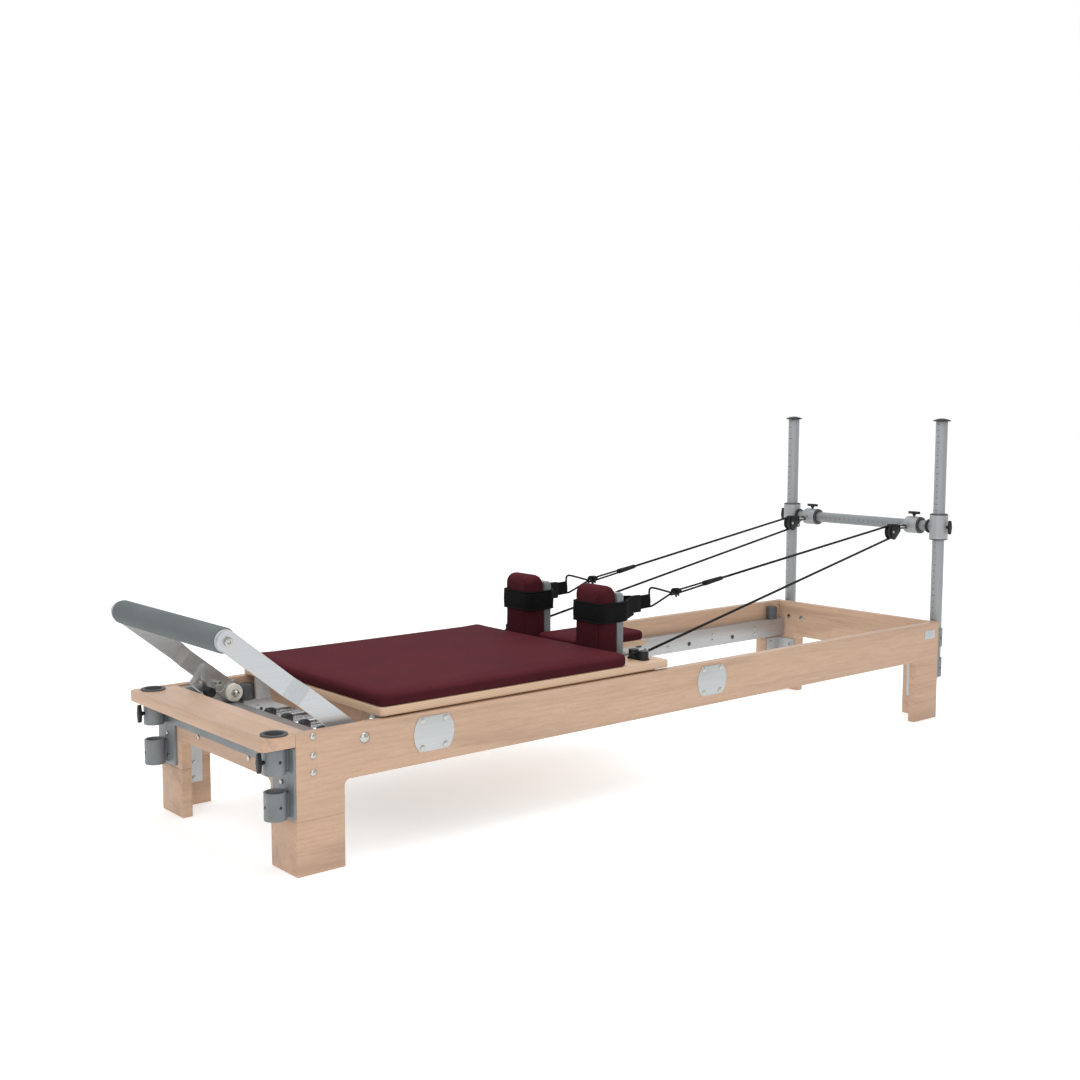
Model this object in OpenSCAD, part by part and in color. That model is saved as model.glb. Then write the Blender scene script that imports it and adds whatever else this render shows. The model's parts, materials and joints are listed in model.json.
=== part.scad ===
// Pilates reformer: a wooden frame with a sprung sliding carriage, a folding
// footbar and a height-adjustable pulley bar on two uprights.
// X runs from the foot end to the head end, Y across, Z up. Lengths along X are
// measured from the outer face of the foot panel and moved to the middle of the
// whole object by placed(). The near side is -Y.

/* [Frame] */
// Length of the wooden frame over its end panels
frame_l = 2396; // [2300:1:2500]
// Width of the frame over its side boards
frame_w = 672; // [640:2:720]
// Height of the frame's top edge above the floor
frame_h = 317; // [300:1:330]
// Height of the boards' lower edge between the legs
arch_z = 198; // [190:1:205]
// Thickness of the side boards
side_t = 24; // [20:1:30]
// Thickness of the end panels
end_t = 27; // [22:1:30]
// Width of a leg seen from the side
leg_w = 122; // [110:1:140]
// Width of a leg seen from the end
leg_d = 114; // [100:1:125]
// Height of the leg risers
riser_h = 123; // [100:1:125]
// Radius in the upper corners of the leg arches
arch_r = 14; // [6:1:20]

/* [Foot end] */
// How far the foot plank stands out past the foot panel
plank_out = 81; // [70:1:90]
// Thickness of the foot plank
plank_t = 27; // [24:1:30]
// Distance of the foot sockets' axis from the foot panel
socket_out = 33; // [31:1:36]
// Distance of the foot sockets' axis from the middle plane
socket_y = 302; // [295:1:305]
// Outer diameter of the socket tubes
socket_d = 50; // [48:1:54]
// Inner diameter of the foot sockets
socket_bore = 41; // [38:0.5:42]

/* [Tower] */
// Distance of the uprights' axis from the head panel
upright_out = 27; // [26:1:34]
// Distance of the uprights' axis from the middle plane
upright_y = 306; // [300:1:308]
// Outer diameter of the uprights
upright_d = 38; // [36:1:40]
// Height of the uprights' top
upright_top = 970; // [900:5:1000]
// Height of the crossbar's axis at rest
bar_z = 626; // [560:1:700]
// Outer diameter of the crossbar
bar_d = 35; // [32:1:38]
// Diameter of the pulley wheels
sheave_d = 50; // [46:1:54]
// Height of the sleeves that slide on the uprights
sleeve_h = 78; // [70:1:90]

/* [Carriage] */
// Length of the carriage board
board_l = 926; // [900:2:940]
// Distance of the board's front edge from the foot panel
board_x = 226; // [225:1:230]
// Width of the carriage board
board_w = 652; // [640:2:652]
// Thickness of the carriage board
board_t = 19.5; // [18:0.5:20]
// Gap between the frame's top edge and the carriage board
board_gap = 4.5; // [4:0.5:6]
// Thickness of the main cushion
cushion_t = 36; // [30:1:40]
// Length of the main cushion
cushion_l = 780; // [760:2:784]
// Height of the shoulder pads above the board
pad_h = 196; // [180:2:210]
// Width of a shoulder pad
pad_w = 112; // [100:1:116]
// Radius of the carriage wheels
wheel_r = 24.7; // [24:0.1:24.7]

/* [Footbar] */
// Distance from the footbar's pivot to the axis of its bar
arm_l = 385; // [360:1:400]
// Width of the flat arms
arm_w = 47; // [40:1:47]
// Thickness of the flat arms
arm_t = 8; // [6:1:8]
// Angle of the arms at rest, from the direction of the head end
arm_angle = 141; // [130:1:150]
// Diameter of the foam on the footbar
foam_d = 57; // [50:1:60]

/* [Hidden] */
$fn = 48;

half_w = frame_w / 2;
inner_y = half_w - side_t;
origin_x = 1150.15;          // moves the middle of the whole object to X = 0
tiny = 0.3;               // gap kept between pieces that move past each other
running = 0.05;           // radial clearance of a shaft in its hole

// Foot end
plank_in = 35;
plank_z = frame_h - plank_t;
plate_t = 6;
plate_w = 92;
plate_z = 128;
low_socket = [130, 62];   // lower edge and height of the lower socket tube
high_socket = [231, plank_z - 231];
stud_d = 8;

// Tracks and carriage
track_top = 258;
track_bottom = 196;
track_w = 26;
track_from = 206;
track_y = inner_y - track_w;
bumper_d = 36;
bumper_x = 218;
board_z = frame_h + board_gap;
board_top = board_z + board_t;
axle_z = track_top + wheel_r + tiny;
axle_r = 5;
front_wheel_x = 278;
rear_wheel_x = 1098;
wheel_w = 20;
bracket_y = 274;
bracket_t = 10;
bay_w = 186;              // slot in the board's rear edge for the headrest
bay_x = 1006;
cushion_x = 225;
pad_x = 1012;
pad_t = 57;
pad_y = 96;
channel_d = 23;
channel_h = 174;
cleat_y = 266;
hinge_x = 1012;
hinge_z = 345;
spring_z = 243;
spring_d = 22;
spring_pitch = 84;
spring_count = 5;
spring_from = 192;
spring_to = 729.7;
beam_x = 730;

// Footbar
pivot_x = 175.5;
pivot_z = 284;
pivot_r = 6;
mount_y = 300;
arm_y = 287;              // inner face of the arms' lower part
arm_step = 18;            // how far the upper part stands further in
step_from = 164;
step_to = 204;
disc_t = 8;
index_at = [72, 38];      // plunger's place: along the arm from the pivot, and below it

// Tower
upright_x = frame_l + upright_out;
sleeve_d = 59;
collar_d = 56;
collar_w = 48;
ring_w = 6;
near_collar_y = -211;
far_collar_y = 214;
wheel_out = 30;            // how far each pulley stands beside its collar's middle
sheave_x = upright_x - 86;
sheave_z = bar_z - 20;
sheave_w = 14;
rope_r = 3;
groove_r = sheave_d / 2 - 4;   // radius of the rope's centreline on the sheave
fork_t = 3;

// Where the ropes are hand-routed: tail end of a strap, end of the loop's knot,
// splice, then over the sheave and back down to the cleat on the board
tail_x = 1228;
tail_z = 487;
tail_y = 176;
knot_x = 1324;
knot_z = 492;
cleat_end = [1086, 356];

module placed() {
    translate([-origin_x, 0, 0])
    children();
}

module both() {
    children();
    mirror([0, 1, 0])
    children();
}

// A rectangle with round corners, from the origin
module round_rect(w, d, r) {
    translate([r, 0])
    square([w - 2 * r, d]);
    translate([0, r])
    square([w, d - 2 * r]);
    for (x = [r, w - r], y = [r, d - r])
        translate([x, y])
        circle(r);
}

// An upright block with rounded corners in plan, from a corner
module round_block(size, r) {
    linear_extrude(size.z)
    round_rect(size.x, size.y, r);
}

// A block lying across X whose outline, in Y and Z, has rounded corners
module wall_block(size, r) {
    rotate([90, 0, 90])
    linear_extrude(size.x)
    round_rect(size.y, size.z, r);
}

// A block lying across Y whose outline, in X and Z, has rounded corners
module side_block(size, r) {
    translate([0, size.y, 0])
    rotate([90, 0, 0])
    linear_extrude(size.y)
    round_rect(size.x, size.z, r);
}

module cyl_y(r, from, to) {
    translate([0, from, 0])
    rotate([-90, 0, 0])
    cylinder(r = r, h = to - from);
}

module cyl_x(r, from, to) {
    translate([from, 0, 0])
    rotate([0, 90, 0])
    cylinder(r = r, h = to - from);
}

// A domed bolt head standing on the XY plane
module dome(d, h) {
    cap_r = (d * d / 4 + h * h) / (2 * h);
    intersection() {
        translate([0, 0, h - cap_r])
        sphere(cap_r);
        cylinder(d = d, h = h);
    }
}

// A wing knob on its threaded stud: the stud's tip is the origin, the head is at +Z
module wing_knob(stud_l) {
    cylinder(d = stud_d - 2 * running, h = stud_l + 2);
    translate([0, 0, stud_l]) {
        cylinder(d1 = 10, d2 = 15, h = 6);
        translate([0, 0, 4.5])
        linear_extrude(8.5)
        for (way = [-1, 1])
            hull() {
                circle(d = 15);
                translate([0, way * 19])
                circle(d = 7);
            }
    }
}

// ---- Wooden frame ----

module side_rail() {
    intersection() {
        union() {
            linear_extrude(frame_h)
            polygon([[0, -half_w], [frame_l, -half_w],
                     [frame_l - end_t, -inner_y], [end_t, -inner_y]]);
            translate([0, -half_w, plank_z])
            cube([end_t + 1, side_t, plank_t]);
        }
        difference() {
            translate([0, -half_w, riser_h])
            cube([frame_l, side_t, frame_h - riser_h]);
            translate([leg_w, -half_w - 1, arch_z - 200])
            side_block([frame_l - 2 * leg_w, side_t + 2, 200], arch_r);
            translate([pivot_x, 0, pivot_z])
            cyl_y(pivot_r + 0.2, -half_w - 1, -inner_y + 1);
        }
    }
}

module side_rail_near() {
    color("BurlyWood")
    placed()
    side_rail();
}

module side_rail_far() {
    color("BurlyWood")
    placed()
    mirror([0, 1, 0])
    side_rail();
}

module end_panel(top) {
    intersection() {
        linear_extrude(top)
        polygon([[0, -half_w], [end_t, -inner_y], [end_t, inner_y], [0, half_w]]);
        difference() {
            translate([0, -half_w, riser_h])
            cube([end_t, frame_w, top - riser_h]);
            translate([-1, leg_d - half_w, arch_z - 201])
            wall_block([end_t + 2, frame_w - 2 * leg_d, 200], arch_r);
        }
    }
}

module foot_panel() {
    color("BurlyWood")
    placed()
    end_panel(plank_z);
}

module head_panel() {
    color("BurlyWood")
    placed()
    translate([frame_l, 0, 0])
    mirror([1, 0, 0])
    end_panel(frame_h);
}

module foot_plank() {
    color("BurlyWood")
    placed()
    difference() {
        union() {
            translate([-plank_out, -half_w, plank_z])
            linear_extrude(plank_t)
            difference() {
                round_rect(plank_out + 40, frame_w, 12);
                translate([plank_out, -1])
                square([60, frame_w + 2]);
            }
            translate([-1, -inner_y, plank_z])
            cube([plank_in + 1, 2 * inner_y, plank_t]);
        }
        both()
        translate([-socket_out, -socket_y, plank_z - 1])
        cylinder(d = 52, h = plank_t + 2);
    }
}

module leg_riser() {
    difference() {
        translate([0, -half_w, 0])
        cube([leg_w, leg_d, riser_h]);
        translate([end_t, -inner_y, -1])
        cube([leg_w, leg_d, riser_h + 2]);
    }
}

module leg_risers() {
    color("BurlyWood")
    placed()
    both() {
        leg_riser();
        translate([frame_l, 0, 0])
        mirror([1, 0, 0])
        leg_riser();
    }
}

// Angle plate inside a leg, across the seam between board and riser
module leg_bracket() {
    difference() {
        translate([end_t, -inner_y, 60])
        cube([70, 72, 125]);
        translate([end_t + 4, -inner_y + 4, 59])
        cube([80, 80, 127]);
        for (z = [78, 105, 140, 167])
            translate([end_t - 1, -inner_y + 50, z])
            cyl_x(3, 0, 6);
    }
}

module leg_brackets() {
    color("Gainsboro")
    placed()
    both() {
        leg_bracket();
        translate([frame_l, 0, 0])
        mirror([1, 0, 0])
        leg_bracket();
    }
}

// ---- Socket brackets ----

module socket_pair(out_d, bore_d, axis_out, axis_y) {
    for (s = [low_socket, high_socket])
        translate([-axis_out, -axis_y, s[0]])
        difference() {
            union() {
                cylinder(d = out_d, h = s[1]);
                translate([0, -12, 6])
                cube([axis_out - plate_t + 1, 24, s[1] - 12]);
            }
            translate([0, 0, -1])
            cylinder(d = bore_d, h = s[1] + 2);
            translate([0, 0, s[1] / 2])
            cyl_x(stud_d / 2, -out_d, 0);
            translate([0, 0, s[1] / 2])
            cyl_y(stud_d / 2, -out_d, 0);
        }
}

module bracket_plate() {
    translate([-plate_t, -half_w, plate_z])
    wall_block([plate_t, plate_w, plank_z - plate_z], 8);
}

module foot_socket_bracket() {
    color("SlateGray")
    placed() {
        both() {
            bracket_plate();
            socket_pair(socket_d, socket_bore, socket_out, socket_y);
        }
        translate([-plate_t, plate_w - half_w - 10, 233])
        cube([plate_t, frame_w - 2 * plate_w + 20, plank_z - 233]);
    }
}

module head_socket_brackets() {
    color("SlateGray")
    placed()
    both()
    translate([frame_l, 0, 0])
    mirror([1, 0, 0]) {
        bracket_plate();
        socket_pair(46, upright_d + 2 * tiny, upright_out, upright_y);
    }
}

module plank_grommets() {
    color("DimGray")
    placed()
    both()
    translate([-socket_out, -socket_y, plank_z])
    difference() {
        union() {
            cylinder(d = 51.8, h = plank_t + 1);
            translate([0, 0, plank_t])
            cylinder(d = 60, h = 3.5);
        }
        translate([0, 0, -1])
        cylinder(d = socket_bore + 2, h = plank_t + 6);
    }
}

// ---- Frame fittings ----

module screw_head_x(x, y, z, d) {
    translate([x, y, z])
    rotate([0, -90, 0])
    cylinder(d = d, h = 3);
}

module frame_fasteners() {
    color("Silver")
    placed()
    both() {
        for (z = [148, 205]) {
            screw_head_x(-plate_t, -283, z, 10);
            screw_head_x(frame_l + plate_t + 3, -286, z, 10);
        }
        screw_head_x(0, -126, 224, 12);
        for (y = [209, 265])
            screw_head_x(frame_l - end_t, -y, 265, 16);
        for (z = [72, 112, 172], x = [end_t + 48, frame_l - end_t - 48])
            translate([x, -inner_y + 4, z])
            rotate([-90, 0, 0])
            cylinder(d = 9, h = 2);
        for (z = [307, 265, 227])
            translate([43, -half_w, z])
            rotate([90, 0, 0])
            dome(17, 5);
        for (x = [365, 1310], dx = [-33, 33], dz = [-32, 32])
            translate([x + dx, -half_w - 2, 266 + dz])
            rotate([90, 0, 0])
            cylinder(d = 15, h = 1.2);
        for (x = [245 : 218 : frame_l - 96], z = [217, 236])
            translate([x, -track_y, z])
            rotate([-90, 0, 0])
            cylinder(d = 9, h = 1.5);
    }
}

module rail_badges() {
    color("Gainsboro")
    placed()
    both() {
        for (x = [365, 1310])
            translate([x, -half_w, 266])
            rotate([90, 0, 0])
            linear_extrude(2)
            intersection() {
                circle(57.5, $fn = 96);
                translate([-58, -41])
                square([116, 82]);
            }
        translate([frame_l - 77, -half_w - 1, 266])
        side_block([56, 1, 29], 3);
    }
}

module track_rails() {
    color("Silver")
    placed()
    both()
    difference() {
        translate([track_from, -inner_y, track_bottom])
        cube([frame_l - end_t - track_from, track_w, track_top - track_bottom]);
        translate([track_from - 1, -inner_y - 1, track_bottom + 8])
        cube([frame_l, track_w - 5, track_top - track_bottom - 16]);
    }
}

module bumpers() {
    color("DimGray")
    placed()
    both()
    for (p = [[bumper_x, 42], [2306, 45]])
        translate([p.x, -inner_y + 19, track_top])
        cylinder(d = bumper_d, h = p.y);
}

module spring_bar() {
    color("Silver")
    placed()
    difference() {
        translate([150, -mount_y, 226])
        side_block([40, 2 * mount_y, 32], 4);
        for (i = [0 : spring_count - 1])
            translate([0, (i - (spring_count - 1) / 2) * spring_pitch, spring_z])
            cyl_x(5, 149, 191);
    }
}

module footbar_mounts() {
    color("Silver")
    placed()
    both()
    difference() {
        translate([36, -inner_y + 0.5, 204])
        side_block([162, inner_y - mount_y - 0.5, 108], 12);
        translate([pivot_x, 0, pivot_z])
        cyl_y(pivot_r + 0.2, -half_w, -mount_y + 1);
        for (a = [0, 13])
            translate([pivot_x, 0, pivot_z])
            rotate([0, -arm_angle - a, 0])
            translate([index_at.x, 0, index_at.y])
            cyl_y(5, -mount_y - 6, -mount_y + 1);
    }
}

module pivot_bolts() {
    color("Silver")
    placed()
    both()
    translate([pivot_x, -half_w, pivot_z]) {
        rotate([90, 0, 0])
        dome(26, 7);
        cyl_y(pivot_r, 0, half_w - 262);
        translate([0, half_w - 274.5, 0])
        rotate([-90, 0, 0]) {
            cylinder(d = 20, h = 8, $fn = 6);
            translate([0, 0, 8])
            dome(17, 8);
        }
    }
}

module pivot_washers() {
    color("Ivory")
    placed()
    both()
    translate([pivot_x, 0, pivot_z])
    difference() {
        union() {
            cyl_y(23, -arm_y + tiny, -274.6);
            cyl_y(14, -mount_y, -arm_y - arm_t - tiny);
        }
        cyl_y(pivot_r + 0.1, -half_w, -200);
    }
}

// ---- Tower ----

module uprights() {
    color("Silver")
    placed()
    both()
    translate([upright_x, -upright_y, 134])
    difference() {
        cylinder(d = upright_d, h = upright_top - 134);
        translate([0, 0, -1])
        cylinder(d = upright_d - 6, h = upright_top);
    }
}

module upright_caps() {
    color("DarkSlateGray")
    placed()
    both()
    translate([upright_x, -upright_y, upright_top]) {
        cylinder(d = 57, h = 3);
        translate([0, 0, 3])
        dome(57, 7);
        translate([0, 0, -14])
        cylinder(d = upright_d - 6.2, h = 15);
    }
}

module crossbar_tube() {
    color("Silver")
    placed()
    difference() {
        translate([upright_x, 0, bar_z])
        difference() {
            cyl_y(bar_d / 2, -upright_y, upright_y);
            cyl_y(bar_d / 2 - 3, -upright_y - 1, upright_y + 1);
        }
        both()
        translate([upright_x, -upright_y, bar_z - sleeve_h])
        cylinder(d = sleeve_d + 0.1, h = 2 * sleeve_h);
    }
}

module crossbar_sleeves() {
    color("Silver")
    placed()
    both()
    translate([upright_x, -upright_y, bar_z - sleeve_h / 2])
    difference() {
        cylinder(d = sleeve_d, h = sleeve_h);
        translate([0, 0, -1])
        cylinder(d = upright_d + 2 * running, h = sleeve_h + 2);
        translate([0, 0, sleeve_h / 2])
        cyl_y(stud_d / 2, -sleeve_d, 0);
    }
}

module crossbar_rings() {
    color("Black")
    placed()
    both()
    translate([upright_x, 0, bar_z])
    difference() {
        cyl_y(23, -275.5, -267);
        cyl_y(bar_d / 2, -277, -266);
    }
}

module tower_knob() {
    translate([upright_x, -upright_y - upright_d / 2 - 0.5, bar_z])
    rotate([90, 0, 0])
    wing_knob(sleeve_d / 2 - upright_d / 2 + 3);
}

module tower_knob_near() {
    color("DimGray")
    placed()
    tower_knob();
}

module tower_knob_far() {
    color("DimGray")
    placed()
    mirror([0, 1, 0])
    tower_knob();
}

module foot_knob() {
    translate([-socket_out - socket_bore / 2 - 0.3, -socket_y, high_socket[0] + high_socket[1] / 2])
    rotate([0, -90, 0])
    rotate([0, 0, 90])
    wing_knob(8);
}

module foot_knob_near() {
    color("DimGray")
    placed()
    foot_knob();
}

module foot_knob_far() {
    color("DimGray")
    placed()
    mirror([0, 1, 0])
    foot_knob();
}

// A collar that slides on the crossbar, centred at its own Y
module collar() {
    difference() {
        cyl_y(collar_d / 2, -collar_w / 2, collar_w / 2);
        cyl_y(bar_d / 2 + running, -collar_w, collar_w);
        cylinder(d = stud_d, h = collar_d);
    }
}

module collar_ring() {
    difference() {
        cyl_y(27, -collar_w / 2 - ring_w, -collar_w / 2);
        cyl_y(bar_d / 2 + running, -collar_w - ring_w, collar_w);
    }
}

module at_collar(y) {
    placed()
    translate([upright_x, y, bar_z])
    children();
}

module collar_near() {
    color("Silver")
    at_collar(near_collar_y)
    collar();
}

module collar_far() {
    color("Silver")
    at_collar(far_collar_y)
    collar();
}

module collar_ring_near() {
    color("DarkSlateGray")
    at_collar(near_collar_y)
    collar_ring();
}

module collar_ring_far() {
    color("DarkSlateGray")
    at_collar(far_collar_y)
    collar_ring();
}

module collar_knob_near() {
    color("DimGray")
    at_collar(near_collar_y)
    translate([0, 0, bar_d / 2 + 0.5])
    wing_knob(collar_d / 2 - bar_d / 2 + 3);
}

module collar_knob_far() {
    color("DimGray")
    at_collar(far_collar_y)
    translate([0, 0, bar_d / 2 + 0.5])
    wing_knob(collar_d / 2 - bar_d / 2 + 3);
}

// Two cheeks that hold a pulley wheel, and the arm that joins them to the collar
module pulley_fork() {
    cheek_y = sheave_w / 2 + tiny;
    difference() {
        translate([0, cheek_y + fork_t, 0])
        rotate([90, 0, 0])
        linear_extrude(2 * (cheek_y + fork_t))
        polygon([[-8, 8], [-3, 25], [37, 22], [41, 0], [12, -27], [1, -27], [-8, -8]]);
        translate([-40, -cheek_y, -40])
        cube([40 + 27, 2 * cheek_y, 80]);
    }
    difference() {
        hull() {
            translate([36, -5, 8])
            cube([4, 10, 12]);
            translate([60, -wheel_out + 8, 8])
            cube([6, 12, 12]);
        }
        translate([upright_x - sheave_x, 0, bar_z - sheave_z])
        cyl_y(collar_d / 2 + 0.05, -60, 20);
    }
    cyl_y(4, -cheek_y - fork_t, cheek_y + fork_t);
}

module sheave() {
    rim = sheave_w / 2;
    rotate([-90, 0, 0])
    rotate_extrude()
    polygon([[4 + running, -rim], [sheave_d / 2, -rim], [sheave_d / 2, -rim + 2],
             [groove_r - rope_r - 0.5, -2.5], [groove_r - rope_r - 0.5, 2.5],
             [sheave_d / 2, rim - 2], [sheave_d / 2, rim], [4 + running, rim]]);
}

module at_sheave(y) {
    placed()
    translate([sheave_x, y, sheave_z])
    children();
}

module pulley_fork_near() {
    color("Black")
    at_sheave(near_collar_y + wheel_out)
    pulley_fork();
}

module pulley_fork_far() {
    color("Black")
    at_sheave(far_collar_y + wheel_out)
    pulley_fork();
}

module sheave_near() {
    color("DimGray")
    at_sheave(near_collar_y + wheel_out)
    sheave();
}

module sheave_far() {
    color("DimGray")
    at_sheave(far_collar_y + wheel_out)
    sheave();
}

// ---- Footbar ----

// Places children along the arm: X from the pivot outwards, Y across the object
module on_arm() {
    placed()
    translate([pivot_x, 0, pivot_z])
    rotate([0, -arm_angle, 0])
    children();
}

module footbar_arm() {
    low = -arm_y - arm_t;
    high = low + arm_step;
    end = arm_l + arm_w / 2;
    difference() {
        intersection() {
            translate([0, 0, -arm_w / 2])
            linear_extrude(arm_w)
            polygon([[-arm_w, low], [step_from, low], [step_to, high], [end + 1, high],
                     [end + 1, high + arm_t], [step_to, high + arm_t],
                     [step_from, low + arm_t], [-arm_w, low + arm_t]]);
            translate([-arm_w / 2, -half_w, -arm_w / 2])
            side_block([arm_l + arm_w, 100, arm_w], arm_w / 2 - 0.01);
        }
        cyl_y(pivot_r + running, -half_w, -200);
        translate([arm_l, 0, 0])
        cyl_y(6, -half_w, -200);
    }
}

module footbar_arms() {
    color("Silver")
    on_arm()
    both()
    footbar_arm();
}

module footbar_tube() {
    color("Gray")
    on_arm()
    translate([arm_l, 0, 0])
    difference() {
        cyl_y(16, -arm_y + arm_step, arm_y - arm_step);
        cyl_y(13, -arm_y + arm_step + 10, arm_y - arm_step - 10);
        both()
        cyl_y(6, -half_w, -arm_y + arm_step + 11);
    }
}

module footbar_pad() {
    color("SlateGray")
    on_arm()
    translate([arm_l, 0, 0])
    difference() {
        cyl_y(foam_d / 2, -arm_y + arm_step + disc_t, arm_y - arm_step - disc_t);
        cyl_y(16, -half_w, half_w);
    }
}

module footbar_discs() {
    color("Gainsboro")
    on_arm()
    translate([arm_l, 0, 0])
    both()
    difference() {
        cyl_y(25, -arm_y + arm_step, -arm_y + arm_step + disc_t);
        cyl_y(16, -half_w, 0);
    }
}

module footbar_bolts() {
    color("Silver")
    on_arm()
    translate([arm_l, 0, 0])
    both() {
        cyl_y(5.9, -arm_y - arm_t + arm_step, -arm_y + arm_step + 11);
        translate([0, -arm_y - arm_t + arm_step, 0])
        rotate([90, 0, 0])
        difference() {
            cylinder(d = 20, h = 6);
            translate([0, 0, 3])
            cylinder(d = 9, h = 4, $fn = 6);
        }
    }
}

// Plate on the far arm that carries the index plunger below the arm's edge
module index_bracket() {
    color("Silver")
    on_arm()
    difference() {
        translate([45, arm_y - 6, -17])
        side_block([75, 6, 66], 8);
        translate([index_at.x, 0, index_at.y])
        cyl_y(5, arm_y - 7, arm_y + 1);
        translate([97, 0, 27])
        cyl_y(4, arm_y - 7, arm_y + 1);
    }
}

module index_plunger() {
    color("DimGray")
    on_arm()
    translate([index_at.x, 0, index_at.y]) {
        cyl_y(5 - running, arm_y - 40, mount_y - 0.4);
        cyl_y(13, arm_y - 42, arm_y - 20);
    }
}

// ---- Carriage ----

module carriage_board() {
    color("BurlyWood")
    placed()
    difference() {
        translate([board_x, -board_w / 2, board_z])
        round_block([board_l, board_w, board_t], 12);
        translate([bay_x, -bay_w / 2, board_z - 1])
        cube([board_l, bay_w, board_t + 2]);
    }
}

module carriage_cushion() {
    color("Maroon")
    placed()
    translate([cushion_x, -324, board_top])
    round_block([cushion_l, 648, cushion_t], 16);
}

module wheel_bracket(from, to, axle_x) {
    translate([from, -bracket_y - bracket_t, track_top + 1])
    side_block([to - from, bracket_t, board_z - track_top - 1], 4);
    translate([from, -bracket_y - bracket_t, board_z - 5])
    cube([to - from, 44, 5]);
    translate([axle_x, 0, axle_z])
    cyl_y(axle_r, -inner_y + 3, -bracket_y);
}

module wheel_brackets() {
    color("LightGray")
    placed()
    both() {
        wheel_bracket(bumper_x + bumper_d / 2 + tiny, 322, front_wheel_x);
        wheel_bracket(1050, 1140, rear_wheel_x);
    }
}

// The near and far wheel on one axle line
module wheel_pair(x) {
    placed()
    both()
    translate([x, 0, axle_z])
    difference() {
        cyl_y(wheel_r, -inner_y + 3, -inner_y + 3 + wheel_w);
        cyl_y(axle_r + running, -half_w, -200);
    }
}

module front_wheels() {
    color("WhiteSmoke")
    wheel_pair(front_wheel_x);
}

module rear_wheels() {
    color("WhiteSmoke")
    wheel_pair(rear_wheel_x);
}

module carriage_beams() {
    color("Peru")
    placed() {
        translate([242, 0, 0])
        rotate([90, 0, 90])
        linear_extrude(26)
        polygon([[-226, board_z], [-204, 266], [204, 266], [226, board_z]]);
        translate([beam_x, -226, 226])
        cube([30, 452, board_z - 226]);
        both()
        translate([325, -262, 288])
        cube([723, 22, board_z - 288]);
    }
}

// Folded channel behind each shoulder pad, with a foot on the board
module shoulder_plate() {
    translate([pad_x + pad_t + tiny, -pad_y - pad_w, board_top])
    difference() {
        union() {
            translate([0, 0, -12])
            wall_block([channel_d, pad_w, channel_h + 12], 12);
            translate([channel_d - 2, 0, 0])
            cube([24, pad_w, 5]);
        }
        translate([4, 4, 20])
        cube([channel_d, pad_w - 8, channel_h - 36]);
        translate([-1, -1, -20])
        cube([60, pad_w + 2, 20]);
    }
}

module shoulder_plates() {
    color("SlateGray")
    placed()
    both()
    shoulder_plate();
}

module shoulder_pads() {
    color("Maroon")
    placed()
    both()
    difference() {
        translate([pad_x, -pad_y - pad_w, board_top - 40])
        side_block([pad_t, pad_w, pad_h + 40], pad_t / 2 - 0.6);
        translate([pad_x - 1, -pad_y - pad_w - 1, board_top - 41])
        cube([pad_t + 2, pad_w + 2, 41]);
    }
}

// Cam cleat: two cams on a base plate, and an eye behind them for the rope
module rope_cleat() {
    translate([1078, -cleat_y - 33, board_top])
    round_block([32, 66, 4], 12);
    for (y = [-18.5, 18.5])
        translate([1094, y - cleat_y, board_top + 3])
        cylinder(d = 28, h = 22);
    translate([1122, -cleat_y, cleat_end[1]])
    rotate([0, 90, 0])
    rotate_extrude()
    translate([9, 0])
    circle(1.5, $fn = 16);
    translate([1120.5, -cleat_y - 6, board_top])
    cube([3, 12, 7]);
}

module rope_cleats() {
    color("Black")
    placed()
    both()
    rope_cleat();
}

// A padded band round a shoulder pad and its plate, with the tail the rope ties to
module strap_loop() {
    band = 5;
    gap = 1;
    depth = pad_t + tiny + channel_d;
    translate([0, 0, 437]) {
        linear_extrude(54)
        difference() {
            translate([pad_x - gap - band, -pad_y - pad_w - gap - band])
            round_rect(depth + 2 * (gap + band), pad_w + 2 * (gap + band), 10);
            translate([pad_x - gap, -pad_y - pad_w - gap])
            round_rect(depth + 2 * gap, pad_w + 2 * gap, 2.5);
        }
        translate([pad_x + depth + gap + band - 1, -tail_y - 5, 8])
        cube([tail_x - pad_x - depth - gap - band + 0.7, 10, 42]);
    }
}

module strap_loops() {
    color("Black")
    placed()
    both()
    strap_loop();
}

module headrest_board() {
    color("BurlyWood")
    placed()
    difference() {
        translate([hinge_x, -87.5, 332])
        cube([285, 175, 16]);
        translate([hinge_x, 0, hinge_z])
        cyl_y(5, -90, 90);
    }
}

module headrest_cushion() {
    color("Maroon")
    placed()
    translate([1026, -87.5, 348])
    round_block([271, 175, 30], 16);
}

// Hinge pin across the front of the headrest board, held between the bay's walls
module headrest_hinge() {
    color("Silver")
    placed()
    translate([hinge_x, 0, hinge_z])
    cyl_y(4.9, -bay_w / 2, bay_w / 2);
}

// ---- Springs and ropes ----

module springs() {
    color("LightGray")
    placed()
    for (i = [0 : spring_count - 1])
        translate([0, (i - (spring_count - 1) / 2) * spring_pitch, spring_z])
        cyl_x(spring_d / 2, spring_from, spring_to);
}

// Points of a rope: strap tail, knot, over the sheave, back to the cleat
function rope_route(tail, wheel, cleat) = [
    [tail_x, tail, tail_z],
    [knot_x, tail, knot_z],
    [1440, tail + (wheel - tail) * 0.2, 513],
    [sheave_x - 30, wheel, sheave_z + groove_r - 3],
    for (a = [100 : -20 : -100])
        [sheave_x + groove_r * cos(a), wheel, sheave_z + groove_r * sin(a)],
    [1730, cleat + (wheel - cleat) * 0.5, 470],
    [1160, cleat, cleat_end[1] + 7],
    [cleat_end[0], cleat, cleat_end[1]]
];

function unit(v) = v / norm(v);

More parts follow.
